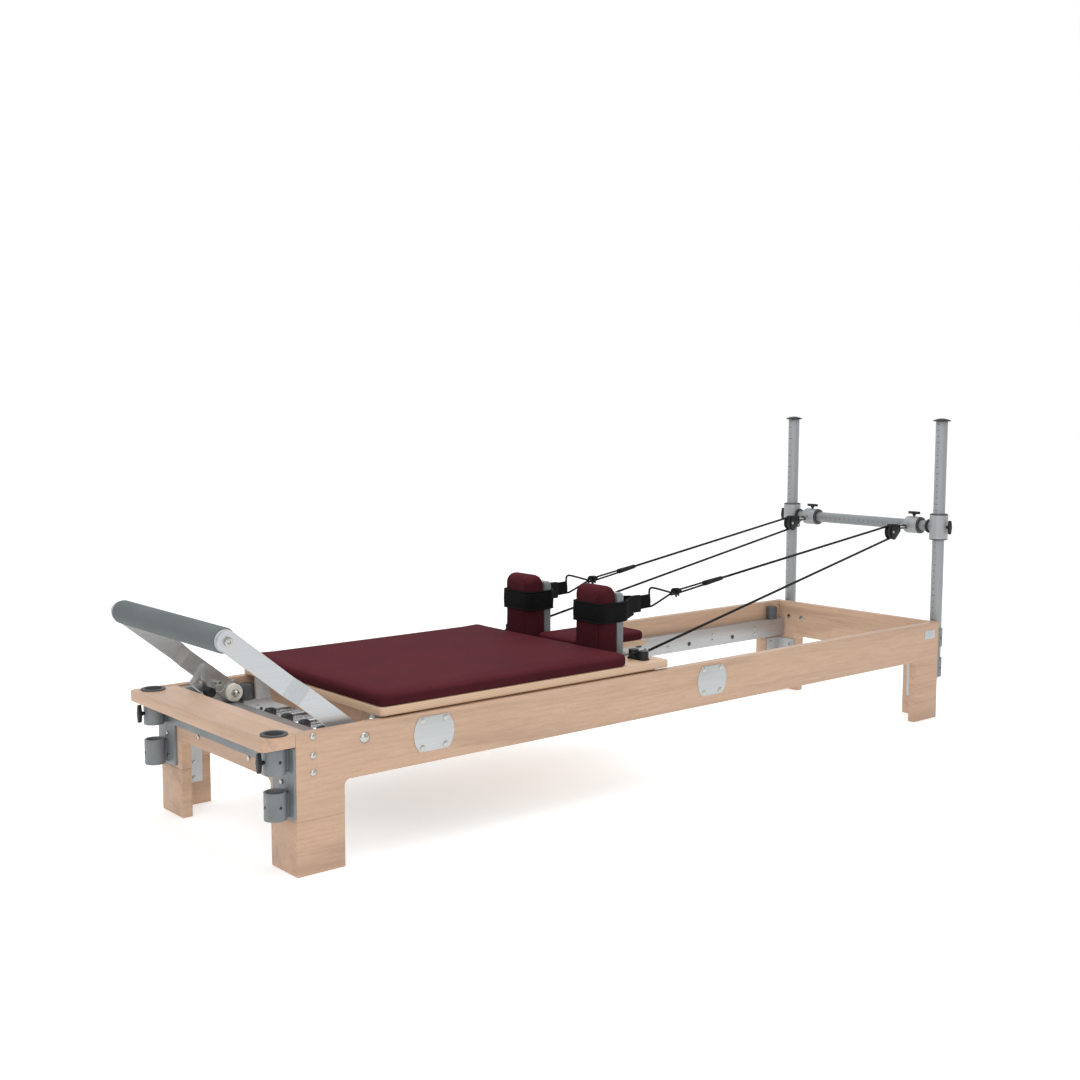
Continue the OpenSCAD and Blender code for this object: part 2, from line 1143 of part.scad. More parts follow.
// Direction of a route at point i
function heading(p, i) = unit(p[min(i + 1, len(p) - 1)] - p[max(i - 1, 0)]);

// A ring of points round point i, square to the route
function ring(p, i, r, n) =
    let (t = heading(p, i), u = unit(cross([0, 1, 0], t)), v = cross(t, u))
    [for (k = [0 : n - 1]) p[i] + r * (u * cos(360 * k / n) + v * sin(360 * k / n))];

module tube(p, r, n) {
    last = len(p) - 1;
    points = [for (i = [0 : last]) each ring(p, i, r, n)];
    sides = [
        for (i = [0 : last - 1], k = [0 : n - 1])
        let (a = i * n + k, b = i * n + (k + 1) % n)
        each [[a, b, b + n], [a, b + n, a + n]]
    ];
    ends = [[for (k = [n - 1 : -1 : 0]) k], [for (k = [0 : n - 1]) last * n + k]];
    polyhedron(points, concat(sides, ends));
}

module rope_near() {
    color("Black")
    placed()
    tube(rope_route(-tail_y, near_collar_y + wheel_out, -cleat_y), rope_r, 8);
}

module rope_far() {
    color("Black")
    placed()
    tube(rope_route(tail_y, far_collar_y + wheel_out, cleat_y), rope_r, 8);
}

side_rail_near();
side_rail_far();
foot_panel();
head_panel();
foot_plank();
leg_risers();
leg_brackets();
frame_fasteners();
foot_socket_bracket();
head_socket_brackets();
plank_grommets();
rail_badges();
track_rails();
bumpers();
spring_bar();
footbar_mounts();
pivot_bolts();
pivot_washers();
uprights();
upright_caps();
crossbar_tube();
crossbar_sleeves();
crossbar_rings();
tower_knob_near();
tower_knob_far();
foot_knob_near();
foot_knob_far();
collar_near();
collar_far();
collar_ring_near();
collar_ring_far();
pulley_fork_near();
pulley_fork_far();
sheave_near();
sheave_far();
collar_knob_near();
collar_knob_far();
footbar_arms();
footbar_tube();
footbar_pad();
footbar_discs();
footbar_bolts();
index_bracket();
index_plunger();
carriage_board();
carriage_cushion();
wheel_brackets();
carriage_beams();
shoulder_plates();
shoulder_pads();
rope_cleats();
strap_loops();
headrest_board();
headrest_cushion();
headrest_hinge();
front_wheels();
rear_wheels();
springs();
rope_near();
rope_far();
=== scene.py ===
import json
import math

import bmesh
import bpy
from mathutils import Matrix, Vector

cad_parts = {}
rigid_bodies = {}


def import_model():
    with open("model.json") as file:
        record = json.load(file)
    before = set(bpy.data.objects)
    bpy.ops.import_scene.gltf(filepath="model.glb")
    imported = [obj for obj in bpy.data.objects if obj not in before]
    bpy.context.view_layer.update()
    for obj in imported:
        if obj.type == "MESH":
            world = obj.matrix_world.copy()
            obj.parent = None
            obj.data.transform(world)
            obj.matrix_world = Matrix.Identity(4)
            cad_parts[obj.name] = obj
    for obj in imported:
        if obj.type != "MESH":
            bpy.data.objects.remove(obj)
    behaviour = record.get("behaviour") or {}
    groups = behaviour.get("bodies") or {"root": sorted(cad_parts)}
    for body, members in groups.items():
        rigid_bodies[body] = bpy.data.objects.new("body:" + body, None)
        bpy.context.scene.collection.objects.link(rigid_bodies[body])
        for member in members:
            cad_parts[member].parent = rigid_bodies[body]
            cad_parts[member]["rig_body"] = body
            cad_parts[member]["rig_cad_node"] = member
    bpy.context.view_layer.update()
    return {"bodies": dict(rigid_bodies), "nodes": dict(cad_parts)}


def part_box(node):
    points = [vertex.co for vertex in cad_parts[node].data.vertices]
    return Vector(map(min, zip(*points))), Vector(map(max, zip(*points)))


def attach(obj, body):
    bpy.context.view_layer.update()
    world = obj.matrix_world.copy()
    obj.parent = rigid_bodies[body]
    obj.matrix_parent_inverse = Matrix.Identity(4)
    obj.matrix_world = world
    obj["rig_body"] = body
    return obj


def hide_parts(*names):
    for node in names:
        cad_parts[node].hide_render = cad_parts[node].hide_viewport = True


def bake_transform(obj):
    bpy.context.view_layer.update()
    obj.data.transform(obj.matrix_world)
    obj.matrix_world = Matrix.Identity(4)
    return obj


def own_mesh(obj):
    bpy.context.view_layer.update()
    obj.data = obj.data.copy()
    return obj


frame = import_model()
nodes = frame["nodes"]


cameraView = {
    "place": (-2.6064, -2.8723, 1.0326),
    "pitch": 5.804,      # degrees below the horizon
    "yaw": 40.1865,      # degrees from +Y towards +X
    "roll": 0.14,
    "lens": 45.545,
    "sensor": 36,
    "far": 60,
}


def addCamera():
    bpy.ops.object.camera_add(location=cameraView["place"])
    camera = bpy.context.active_object
    camera.data.lens = cameraView["lens"]
    camera.data.sensor_width = cameraView["sensor"]
    turn = Matrix.Rotation(math.radians(-cameraView["yaw"]), 4, "Z")
    tilt = Matrix.Rotation(math.radians(90 - cameraView["pitch"]), 4, "X")
    roll = Matrix.Rotation(math.radians(cameraView["roll"]), 4, "Z")
    camera.rotation_euler = (turn @ tilt @ roll).to_euler()
    camera.data.clip_end = cameraView["far"]
    bpy.context.scene.camera = camera


addCamera()
print("camera placed")



def mm(value):
    return value / 1000


def deselectAll():
    if bpy.context.mode != "OBJECT":
        bpy.ops.object.mode_set(mode="OBJECT")
    bpy.ops.object.select_all(action="DESELECT")


def makeActive(obj):
    deselectAll()
    obj.select_set(True)
    bpy.context.view_layer.objects.active = obj


def applyPlace(obj):
    makeActive(obj)
    bpy.ops.object.transform_apply(location=True, rotation=True, scale=True)


def applyModifiers(obj):
    makeActive(obj)
    for name in [m.name for m in obj.modifiers]:
        bpy.ops.object.modifier_apply(modifier=name)


def smoothByAngle(obj, degrees=35):
    makeActive(obj)
    bpy.ops.object.shade_smooth_by_angle(angle=math.radians(degrees))


def addBevel(obj, width, segments=2, degrees=35):
    bevel = obj.modifiers.new("Bevel", "BEVEL")
    bevel.width = width
    bevel.segments = segments
    bevel.limit_method = "ANGLE"
    bevel.angle_limit = math.radians(degrees)
    bevel.harden_normals = False
    return bevel


def setMaterial(obj, material):
    obj.data.materials.clear()
    obj.data.materials.append(material)


def finishPiece(obj, name, material, body, replaced=()):
    obj.name = name
    obj.data.name = name
    setMaterial(obj, material)
    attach(obj, body)
    if replaced:
        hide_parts(*replaced)
    return obj


def meshPiece(name, points, faces, uvs=None):
    data = bpy.data.meshes.new(name)
    data.from_pydata([tuple(p) for p in points], [], faces)
    data.update()
    if uvs:
        layer = data.uv_layers.new(name="UVMap")
        for loop in data.loops:
            layer.data[loop.index].uv = uvs[loop.index]
    obj = bpy.data.objects.new(name, data)
    bpy.context.scene.collection.objects.link(obj)
    return obj




class Shader:
    def __init__(self, name):
        self.material = bpy.data.materials.new(name)
        self.material.use_nodes = True
        self.tree = self.material.node_tree
        self.surface = self.tree.nodes["Principled BSDF"]
        self.coords = self.add("ShaderNodeTexCoord")

    def add(self, kind, **settings):
        node = self.tree.nodes.new(kind)
        for key, value in settings.items():
            setattr(node, key, value)
        return node

    def link(self, a, b):
        self.tree.links.new(a, b)

    def setValues(self, **values):
        for key, value in values.items():
            self.surface.inputs[key.replace("_", " ")].default_value = value

    def mapping(self, scale=(1, 1, 1), rotation=(0, 0, 0), location=(0, 0, 0),
                source="Object"):
        node = self.add("ShaderNodeMapping")
        node.inputs["Scale"].default_value = scale
        node.inputs["Rotation"].default_value = [math.radians(a) for a in rotation]
        node.inputs["Location"].default_value = location
        self.link(self.coords.outputs[source], node.inputs["Vector"])
        return node.outputs["Vector"]

    def noise(self, vector, scale=5, detail=4, roughness=0.5, distortion=0):
        node = self.add("ShaderNodeTexNoise")
        node.inputs["Scale"].default_value = scale
        node.inputs["Detail"].default_value = detail
        node.inputs["Roughness"].default_value = roughness
        node.inputs["Distortion"].default_value = distortion
        self.link(vector, node.inputs["Vector"])
        return node.outputs["Fac"]

    def ramp(self, value, stops):
        node = self.add("ShaderNodeValToRGB")
        while len(node.color_ramp.elements) < len(stops):
            node.color_ramp.elements.new(0.5)
        for element, (place, color) in zip(node.color_ramp.elements, stops):
            element.position = place
            element.color = (*color, 1) if len(color) == 3 else color
        self.link(value, node.inputs["Fac"])
        return node.outputs["Color"]

    def math(self, operation, a, b=0.5, clamp=False):
        node = self.add("ShaderNodeMath", operation=operation, use_clamp=clamp)
        for socket, value in zip(node.inputs, (a, b)):
            if isinstance(value, (int, float)):
                socket.default_value = value
            else:
                self.link(value, socket)
        return node.outputs[0]

    def mix(self, amount, a, b, blend="MIX"):
        node = self.add("ShaderNodeMix", data_type="RGBA", blend_type=blend)
        for place, value in ((0, amount), (6, a), (7, b)):
            socket = node.inputs[place]
            if isinstance(value, (int, float)):
                socket.default_value = value
            elif isinstance(value, tuple):
                socket.default_value = (*value, 1)
            else:
                self.link(value, socket)
        return node.outputs[2]

    def bump(self, height, strength=0.2, distance=0.001):
        node = self.add("ShaderNodeBump")
        node.inputs["Strength"].default_value = strength
        node.inputs["Distance"].default_value = distance
        self.link(height, node.inputs["Height"])
        if self.surface.inputs["Normal"].is_linked:
            earlier = self.surface.inputs["Normal"].links[0].from_socket
            self.link(earlier, node.inputs["Normal"])
        self.link(node.outputs["Normal"], self.surface.inputs["Normal"])

    def color(self, socket):
        self.link(socket, self.surface.inputs["Base Color"])

    def roughness(self, value, low, high):
        node = self.add("ShaderNodeMapRange")
        node.inputs["To Min"].default_value = low
        node.inputs["To Max"].default_value = high
        self.link(value, node.inputs["Value"])
        self.link(node.outputs["Result"], self.surface.inputs["Roughness"])


def times(color, factor):
    return tuple(c * factor for c in color)


beechLook = {
    "base": (0.540, 0.362, 0.252),
    "dark": 0.74,
    "fleck": 0.66,
    "fleckShare": 0.35,
    "streak": (0.82, 0.80, 0.78),
    "streakShare": 0.7,
    "long": 1.6,           # grain scale along the board and across it
    "cross": 26,
    "roughness": (0.40, 0.52),
}


def beech(name, axis, seed=0.0, tilt=0.0):
    s = Shader(name)
    long, cross = beechLook["long"], beechLook["cross"]
    along = {"X": (long, cross, cross), "Y": (cross, long, cross)}[axis]
    rotation = (0, tilt, 0) if axis == "X" else (tilt, 0, 0)
    shift = (seed, seed * 0.7, seed * 1.3)
    grain = s.mapping(scale=along, rotation=rotation, location=shift)
    broad = s.noise(grain, scale=0.55, detail=5, roughness=0.55, distortion=0.8)
    fine = s.noise(grain, scale=5.5, detail=6, roughness=0.7, distortion=0.2)
    base = beechLook["base"]
    stops = [
        (0.25, times(base, beechLook["dark"])),
        (0.48, base),
        (0.62, times(base, 1.05)),
        (0.8, times(base, 0.9)),
    ]
    tone = s.ramp(broad, stops)
    streaks = s.ramp(fine, [(0.35, beechLook["streak"]), (0.6, (1, 1, 1))])
    tone = s.mix(beechLook["streakShare"], tone, streaks, "MULTIPLY")
    dashes = tuple(c * (18 if c == cross else 60) for c in along)
    flecks = s.mapping(scale=dashes, rotation=rotation)
    fleckNoise = s.noise(flecks, scale=1, detail=2, roughness=0.5)
    mask = s.ramp(fleckNoise, [(0.60, (0, 0, 0)), (0.70, (1, 1, 1))])
    share = s.math("MULTIPLY", mask, beechLook["fleckShare"])
    tone = s.mix(share, tone, times(base, beechLook["fleck"]))
    s.color(tone)
    s.roughness(fine, *beechLook["roughness"])
    s.bump(fine, strength=0.12, distance=0.0004)
    s.setValues(Coat_Weight=0.06, Coat_Roughness=0.3, Specular_IOR_Level=0.3)
    return s.material


plyLook = {
    "veneer": (0.62, 0.43, 0.29),
    "light": (0.66, 0.48, 0.33),
    "dark": (0.42, 0.27, 0.17),
    "layers": 9,
}


def plywood(name, node):
    s = Shader(name)
    low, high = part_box(node)
    grain = s.mapping(scale=(2, 30, 30))
    fine = s.noise(grain, scale=3, detail=6, roughness=0.65, distortion=0.5)
    veneer = s.ramp(fine, [(0.3, times(plyLook["veneer"], 0.86)), (0.6, plyLook["veneer"])])
    place = s.add("ShaderNodeSeparateXYZ")
    s.link(s.coords.outputs["Object"], place.inputs[0])
    above = s.math("SUBTRACT", place.outputs["Z"], low.z)
    level = s.math("MULTIPLY", above, plyLook["layers"] / (high.z - low.z))
    wobble = s.math("MULTIPLY", s.noise(s.mapping(scale=(40, 40, 40)), detail=2), 0.25)
    stripe = s.math("MODULO", s.math("MULTIPLY", s.math("ADD", level, wobble), 0.5), 1)
    light, dark = plyLook["light"], plyLook["dark"]
    layered = s.ramp(stripe, [(0.42, light), (0.5, dark), (0.92, dark), (1, light)])
    layered = s.mix(0.5, layered, veneer)
    facing = s.add("ShaderNodeSeparateXYZ")
    s.link(s.coords.outputs["Normal"], facing.inputs[0])
    flat = s.math("GREATER_THAN", s.math("ABSOLUTE", facing.outputs["Z"]), 0.7)
    s.color(s.mix(flat, layered, veneer))
    s.roughness(fine, 0.36, 0.5)
    s.bump(fine, strength=0.15, distance=0.0004)
    return s.material


brushLines = {
    # direction: (noise scale, turn of the lines in degrees)
    "X": ((4, 700, 700), (0, 0, 0)),
    "Y": ((700, 4, 700), (0, 0, 0)),
    "Z": ((700, 700, 4), (0, 0, 0)),
    "arm": ((5, 700, 700), (0, 39, 0)),
}


def brushed(name, color, axis, roughness=(0.34, 0.48), strength=0.22, metallic=0.8):
    s = Shader(name)
    lines, rotation = brushLines[axis]
    grain = s.noise(s.mapping(scale=lines, rotation=rotation), scale=1, detail=4, roughness=0.65)
    cloud = s.noise(s.mapping(scale=(7, 7, 7)), scale=1, detail=3)
    tone = s.ramp(grain, [(0.3, times(color, 0.86)), (0.7, times(color, 1.06))])
    s.color(s.mix(s.math("MULTIPLY", cloud, 0.3), tone, times(color, 0.82)))
    s.roughness(grain, *roughness)
    s.bump(grain, strength=strength, distance=0.0002)
    s.setValues(Metallic=metallic)
    return s.material


tubeScale = {
    "step": 0.02,          # between the short marks, and between the long ones
    "longStep": 0.1,
    "line": 0.0016,
    "short": 0.0035,       # half a mark's width
    "long": 0.006,
    "uprightY": 306,       # the uprights' distance from the middle plane, mm
    "ink": (0.03, 0.03, 0.035),
    "metallic": 0.35,
}


def scaledTube(name, color, axis):
    s = Shader(name)
    place = s.add("ShaderNodeSeparateXYZ")
    s.link(s.coords.outputs["Object"], place.inputs[0])
    grain = s.noise(s.mapping(scale=brushLines[axis][0]), scale=1, detail=3, roughness=0.6)
    tone = s.ramp(grain, [(0.3, times(color, 0.9)), (0.7, times(color, 1.04))])
    along = place.outputs[axis]
    start = s.math("ADD", along, 10.0)
    step = s.math("MODULO", start, tubeScale["step"])
    tick = s.math("LESS_THAN", step, tubeScale["line"])
    longStep = s.math("MODULO", start, tubeScale["longStep"])
    longTick = s.math("LESS_THAN", longStep, tubeScale["line"])
    # how far the surface point lies from the tube's foot-facing line
    if axis == "Z":
        aside = s.math("ABSOLUTE", place.outputs["Y"])
        across = s.math("SUBTRACT", aside, mm(tubeScale["uprightY"]))
    else:
        across = s.math("SUBTRACT", place.outputs["Z"], barZ)
    front = s.math("LESS_THAN", place.outputs["X"], towerX)
    offset = s.math("ABSOLUTE", across)
    narrow = s.math("LESS_THAN", offset, tubeScale["short"])
    wide = s.math("LESS_THAN", offset, tubeScale["long"])
    shortMark = s.math("MULTIPLY", tick, narrow)
    longMark = s.math("MULTIPLY", longTick, wide)
    mark = s.math("MAXIMUM", shortMark, longMark)
    mark = s.math("MULTIPLY", mark, front)
    s.color(s.mix(mark, tone, tubeScale["ink"]))
    s.roughness(grain, 0.46, 0.56)
    s.bump(grain, strength=0.1, distance=0.0002)
    bare = s.math("SUBTRACT", 1.0, mark)
    s.link(s.math("MULTIPLY", bare, tubeScale["metallic"]), s.surface.inputs["Metallic"])
    return s.material


def plastic(name, color, roughness=(0.4, 0.55), grain=900, strength=0.2, specular=0.5):
    s = Shader(name)
    speckle = s.noise(s.mapping(), scale=grain, detail=3, roughness=0.6)
    cloud = s.noise(s.mapping(), scale=14, detail=3)
    tone = s.ramp(cloud, [(0.3, times(color, 0.8)), (0.7, times(color, 1.2))])
    s.color(tone)
    s.roughness(speckle, *roughness)
    s.bump(speckle, strength=strength, distance=0.0002)
    s.setValues(Specular_IOR_Level=specular)
    return s.material


def zincPlated(name, color=(0.50, 0.50, 0.47)):
    s = Shader(name)
    cloud = s.noise(s.mapping(), scale=160, detail=4, roughness=0.6)
    s.color(s.ramp(cloud, [(0.3, times(color, 0.85)), (0.7, times(color, 1.05))]))
    s.roughness(cloud, 0.16, 0.34)
    s.bump(cloud, strength=0.1, distance=0.0002)
    s.setValues(Metallic=1.0)
    return s.material


leatherLook = {
    "base": (0.106, 0.0225, 0.0300),
    "roughness": (0.66, 0.80),
    "pebble": 900,
    "sides": 0.6,          # painted shade: how dark the upright faces are painted beside the flat ones, in place of the light falling mostly from above
    "thread": 0.8,         # half width of a seam line, mm
}


def leatherette(name, seams=()):
    s = Shader(name)
    cells = s.add("ShaderNodeTexVoronoi", feature="DISTANCE_TO_EDGE")
    cells.inputs["Scale"].default_value = leatherLook["pebble"]
    s.link(s.mapping(), cells.inputs["Vector"])
    pebble = s.ramp(cells.outputs["Distance"], [(0.0, (0, 0, 0)), (0.35, (1, 1, 1))])
    cloud = s.noise(s.mapping(), scale=6, detail=5, roughness=0.6)
    base = leatherLook["base"]
    tone = s.ramp(cloud, [(0.3, times(base, 0.88)), (0.7, times(base, 1.1))])
    tone = s.mix(0.25, tone, pebble, "MULTIPLY")
    if seams:
        place = s.add("ShaderNodeSeparateXYZ")
        s.link(s.coords.outputs["Object"], place.inputs[0])
        across = s.math("ABSOLUTE", place.outputs["Y"])
        gaps = [s.math("ABSOLUTE", s.math("SUBTRACT", across, y)) for y in seams]
        line = s.math("LESS_THAN", s.math("MINIMUM", *gaps), mm(leatherLook["thread"]))
        tone = s.mix(s.math("MULTIPLY", line, 0.75), tone, times(base, 0.3))
    # painted shade: upright faces darkened beside the flat tops, as if lit from above
    facing = s.add("ShaderNodeSeparateXYZ")
    s.link(s.coords.outputs["Normal"], facing.inputs[0])
    upward = s.math("ABSOLUTE", facing.outputs["Z"])
    shade = s.ramp(upward, [(0.0, (leatherLook["sides"],) * 3), (0.9, (1, 1, 1))])
    s.color(s.mix(1.0, tone, shade, "MULTIPLY"))
    fine = s.noise(s.mapping(), scale=2200, detail=2)
    s.roughness(cloud, *leatherLook["roughness"])
    s.bump(pebble, strength=0.18, distance=0.0003)
    s.bump(fine, strength=0.08, distance=0.0002)
    s.setValues(Specular_IOR_Level=0.015)
    return s.material


def foamSkin(name, color):
    s = Shader(name)
    pores = s.noise(s.mapping(), scale=1300, detail=3, roughness=0.7)
    cloud = s.noise(s.mapping(scale=(1, 0.3, 1)), scale=16, detail=4)
    s.color(s.ramp(cloud, [(0.3, times(color, 0.9)), (0.7, times(color, 1.08))]))
    s.roughness(pores, 0.72, 0.88)
    s.bump(pores, strength=0.35, distance=0.0004)
    s.setValues(Specular_IOR_Level=0.12)
    return s.material


waveTurn = 6.283


def webbing(name, color, ribs=0.0016, source="UV"):
    s = Shader(name)
    across = s.add("ShaderNodeTexWave", wave_type="BANDS", bands_direction="X")
    across.inputs["Scale"].default_value = 1 / ribs / waveTurn
    across.inputs["Distortion"].default_value = 0.4
    s.link(s.mapping(source=source), across.inputs["Vector"])
    along = s.add("ShaderNodeTexWave", wave_type="BANDS", bands_direction="Y")
    along.inputs["Scale"].default_value = 1 / (ribs * 1.6) / waveTurn
    s.link(s.mapping(source=source), along.inputs["Vector"])
    weave = s.math("MULTIPLY", across.outputs["Fac"], along.outputs["Fac"])
    s.color(s.ramp(weave, [(0.0, times(color, 0.5)), (0.7, times(color, 1.5))]))
    s.roughness(weave, 0.7, 0.88)
    s.bump(weave, strength=0.6, distance=0.0005)
    s.setValues(Specular_IOR_Level=0.08)
    return s.material


braidLook = {"turns": (45, -45), "scale": 110}


def braid(name, color):
    s = Shader(name)
    waves = []
    for turn in braidLook["turns"]:
        vector = s.mapping(rotation=(0, 0, turn), source="UV")
        wave = s.add("ShaderNodeTexWave", wave_type="BANDS", bands_direction="X")
        wave.inputs["Scale"].default_value = braidLook["scale"]
        s.link(vector, wave.inputs["Vector"])
        waves.append(wave.outputs["Fac"])
    strands = s.math("MAXIMUM", waves[0], waves[1])
    s.color(s.ramp(strands, [(0.2, times(color, 0.4)), (0.9, times(color, 1.6))]))
    s.roughness(strands, 0.6, 0.8)
    s.bump(strands, strength=0.7, distance=0.0006)
    s.setValues(Specular_IOR_Level=0.2)
    return s.material


towerLow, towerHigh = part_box("uprights")
towerX = (towerLow.x + towerHigh.x) / 2
barLow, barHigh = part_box("crossbar_tube")
barZ = (barLow.z + barHigh.z) / 2

beechX = beech("beechLengthwise", "X", 0.0)
beechXFar = beech("beechLengthwiseFar", "X", 3.7)
beechY = beech("beechCrosswise", "Y", 1.9)
beechHead = beech("beechHeadBoard", "Y", 5.1)
beechPlank = beech("beechPlank", "Y", 7.3)
beechRiser = beech("beechRiser", "X", 9.4, tilt=-24)
aluX = brushed("aluminiumLengthwise", (0.52, 0.535, 0.545), "X")
aluY = brushed("aluminiumCrosswise", (0.50, 0.515, 0.525), "Y")
aluZ = brushed("aluminiumUpright", (0.52, 0.535, 0.54), "Z")
aluArm = brushed(
    "aluminiumArm", (0.54, 0.56, 0.57), "arm", roughness=(0.28, 0.40), strength=0.3, metallic=0.9)
castAlu = plastic("castAluminium", (0.46, 0.475, 0.48), roughness=(0.42, 0.55), grain=500)
sleeveAlu = brushed(
    "sleeveAluminium", (0.37, 0.385, 0.395), "Z", roughness=(0.46, 0.56), metallic=0.35)
collarAlu = brushed(
    "collarAluminium", (0.37, 0.385, 0.395), "Y", roughness=(0.46, 0.56), metallic=0.35)
uprightTube = scaledTube("uprightTube", (0.32, 0.338, 0.348), "Z")
crossbarTube = scaledTube("crossbarTube", (0.26, 0.275, 0.283), "Y")
greyPaint = plastic(
    "greyPowderCoat", (0.175, 0.195, 0.205), roughness=(0.32, 0.45), grain=1400, strength=0.12)
greyRubber = plastic("greyRubber", (0.075, 0.08, 0.085), roughness=(0.6, 0.8), grain=700)
blackPlastic = plastic(
    "blackPlastic", (0.0095, 0.0105, 0.0125), roughness=(0.38, 0.52), specular=0.35)
keeperBlack = plastic("keeperBlack", (0.0065, 0.0070, 0.0078), roughness=(0.6, 0.75), specular=0.12)
satinBlack = plastic("satinBlack", (0.030, 0.034, 0.040), roughness=(0.42, 0.55))
whiteNylon = plastic(
    "whiteNylon", (0.72, 0.71, 0.64), roughness=(0.3, 0.42), grain=400, strength=0.08)
zinc = zincPlated("brightZinc")
springSteel = zincPlated("springSteel", (0.48, 0.50, 0.52))
leather = leatherette("burgundyLeatherette")
padLow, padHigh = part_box("shoulder_pads")
padSeams = (padHigh.y - mm(13.5), padHigh.y - mm(93.5))
padLeather = leatherette("burgundyPadLeatherette", padSeams)
foam = foamSkin("greyFoam", (0.140, 0.158, 0.160))
strapCloth = webbing("strapCloth", (0.0062, 0.0066, 0.0074))
ropeBraid = braid("ropeBraid", (0.0095, 0.0095, 0.0105))
badgePlate = brushed(
    "badgeAluminium", (0.53, 0.55, 0.555), "X", roughness=(0.40, 0.5), strength=0.12, metallic=0.5)
plyBoard = plywood("carriagePly", "carriage_board")
plyRest = plywood("headrestPly", "headrest_board")
print("materials made")


softEdges = {
    # node: (edge width in mm, material)
    "side_rail_near": (2.0, beechX),
    "side_rail_far": (2.0, beechXFar),
    "foot_panel": (1.5, beechY),
    "head_panel": (1.5, beechHead),
    "foot_plank": (4.0, beechPlank),
    "leg_risers": (1.6, beechRiser),
    "leg_brackets": (0.8, aluZ),
    "foot_socket_bracket": (0.8, greyPaint),
    "head_socket_brackets": (0.8, greyPaint),
    "plank_grommets": (1.0, greyRubber),
    "rail_badges": (0.6, badgePlate),
    "track_rails": (0.6, aluX),
    "bumpers": (2.5, greyRubber),
    "spring_bar": (1.0, aluY),
    "footbar_mounts": (1.0, aluX),
    "pivot_washers": (1.5, whiteNylon),
    "uprights": (0.6, uprightTube),
    "upright_caps": (1.2, blackPlastic),
    "crossbar_tube": (0.4, crossbarTube),
    "crossbar_sleeves": (1.2, sleeveAlu),
    "crossbar_rings": (1.0, blackPlastic),
    "tower_knob_near": (1.2, blackPlastic),
    "tower_knob_far": (1.2, blackPlastic),
    "foot_knob_near": (1.2, blackPlastic),
    "foot_knob_far": (1.2, blackPlastic),
    "collar_near": (1.0, collarAlu),
    "collar_far": (1.0, collarAlu),
    "collar_ring_near": (1.0, satinBlack),
    "collar_ring_far": (1.0, satinBlack),
    "pulley_fork_near": (1.0, blackPlastic),
    "pulley_fork_far": (1.0, blackPlastic),
    "sheave_near": (0.4, blackPlastic),
    "sheave_far": (0.4, blackPlastic),
    "collar_knob_near": (1.2, blackPlastic),
    "collar_knob_far": (1.2, blackPlastic),
    "footbar_arms": (1.0, aluArm),
    "footbar_tube": (0.5, springSteel),
    "footbar_discs": (1.5, castAlu),
    "footbar_bolts": (0.8, zinc),
    "index_bracket": (0.8, aluArm),
    "index_plunger": (1.0, blackPlastic),
    "carriage_board": (1.5, plyBoard),
    "wheel_brackets": (1.0, castAlu),
    "front_wheels": (1.5, whiteNylon),
    "rear_wheels": (1.5, whiteNylon),
    "carriage_beams": (2.0, beechPlank),
    "shoulder_plates": (1.0, greyPaint),
    "headrest_board": (1.2, plyRest),
    "headrest_hinge": (0.5, zinc),
    "frame_fasteners": (0.6, zinc),
    "pivot_bolts": (0.6, zinc),
    "rope_cleats": (0.8, blackPlastic),
}


softening = {
    "merge": 0.00002,
    "flat": 0.6,           # faces closer than this many degrees are joined
    "smooth": 32,
    "smoothArms": 6,
}


def softenNode(name, width, material):
    source = nodes[name]
    piece = source.copy()
    piece.data = source.data.copy()
    piece.parent = None
    bpy.context.scene.collection.objects.link(piece)
    del piece["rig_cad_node"]
    del piece["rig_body"]
    makeActive(piece)
    bpy.ops.object.mode_set(mode="EDIT")
    bpy.ops.mesh.select_all(action="SELECT")
    bpy.ops.mesh.remove_doubles(threshold=softening["merge"])
    bpy.ops.mesh.dissolve_limited(angle_limit=math.radians(softening["flat"]))
    bpy.ops.object.mode_set(mode="OBJECT")
    bevel = addBevel(piece, mm(width))
    bevel.use_clamp_overlap = True
    applyModifiers(piece)
    smoothByAngle(piece, softening["smoothArms" if name == "footbar_arms" else "smooth"])
    return finishPiece(piece, name + "_finished", material, source["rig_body"],
                       replaced=[name])


for nodeName, (edgeWidth, nodeMaterial) in softEdges.items():
    softenNode(nodeName, edgeWidth, nodeMaterial)
print("rigid pieces finished")


cushions = {
    "carriage_cushion": {
        "body": "carriage", "corner": 16, "edge": 9, "shrink": 2.0, "voxel": 7,
        "cap": 2, "pressure": 1.2, "fill": 0.9,
    },
    "headrest_cushion": {
        "body": "headrest", "corner": 16, "edge": 9, "shrink": 2.0, "voxel": 5,
        "cap": 4, "pressure": 3.0, "fill": 0.9,
    },
}


def roundedBox(name, low, high, corner, edge):
    deselectAll()
    middle = (low + high) / 2
    bpy.ops.mesh.primitive_cube_add(size=1, location=middle)
    piece = bpy.context.active_object
    piece.name = name
    piece.scale = high - low
    applyPlace(piece)
    bpy.ops.object.mode_set(mode="EDIT")
    bpy.ops.mesh.select_mode(type="EDGE")
    bpy.ops.mesh.select_all(action="DESELECT")
    mesh = bmesh.from_edit_mesh(piece.data)
    for e in mesh.edges:
        a, b = (v.co for v in e.verts)
        e.select = abs(a.z - b.z) > 0.6 * (high.z - low.z)
    bmesh.update_edit_mesh(piece.data)
    bpy.ops.mesh.bevel(offset=corner, segments=6, affect="EDGES")
    bpy.ops.mesh.select_all(action="DESELECT")
    mesh = bmesh.from_edit_mesh(piece.data)
    for e in mesh.edges:
        e.select = all(v.co.z > high.z - 1e-6 for v in e.verts)
    bmesh.update_edit_mesh(piece.data)
    bpy.ops.mesh.bevel(offset=edge, segments=5, affect="EDGES")
    bpy.ops.object.mode_set(mode="OBJECT")
    return piece


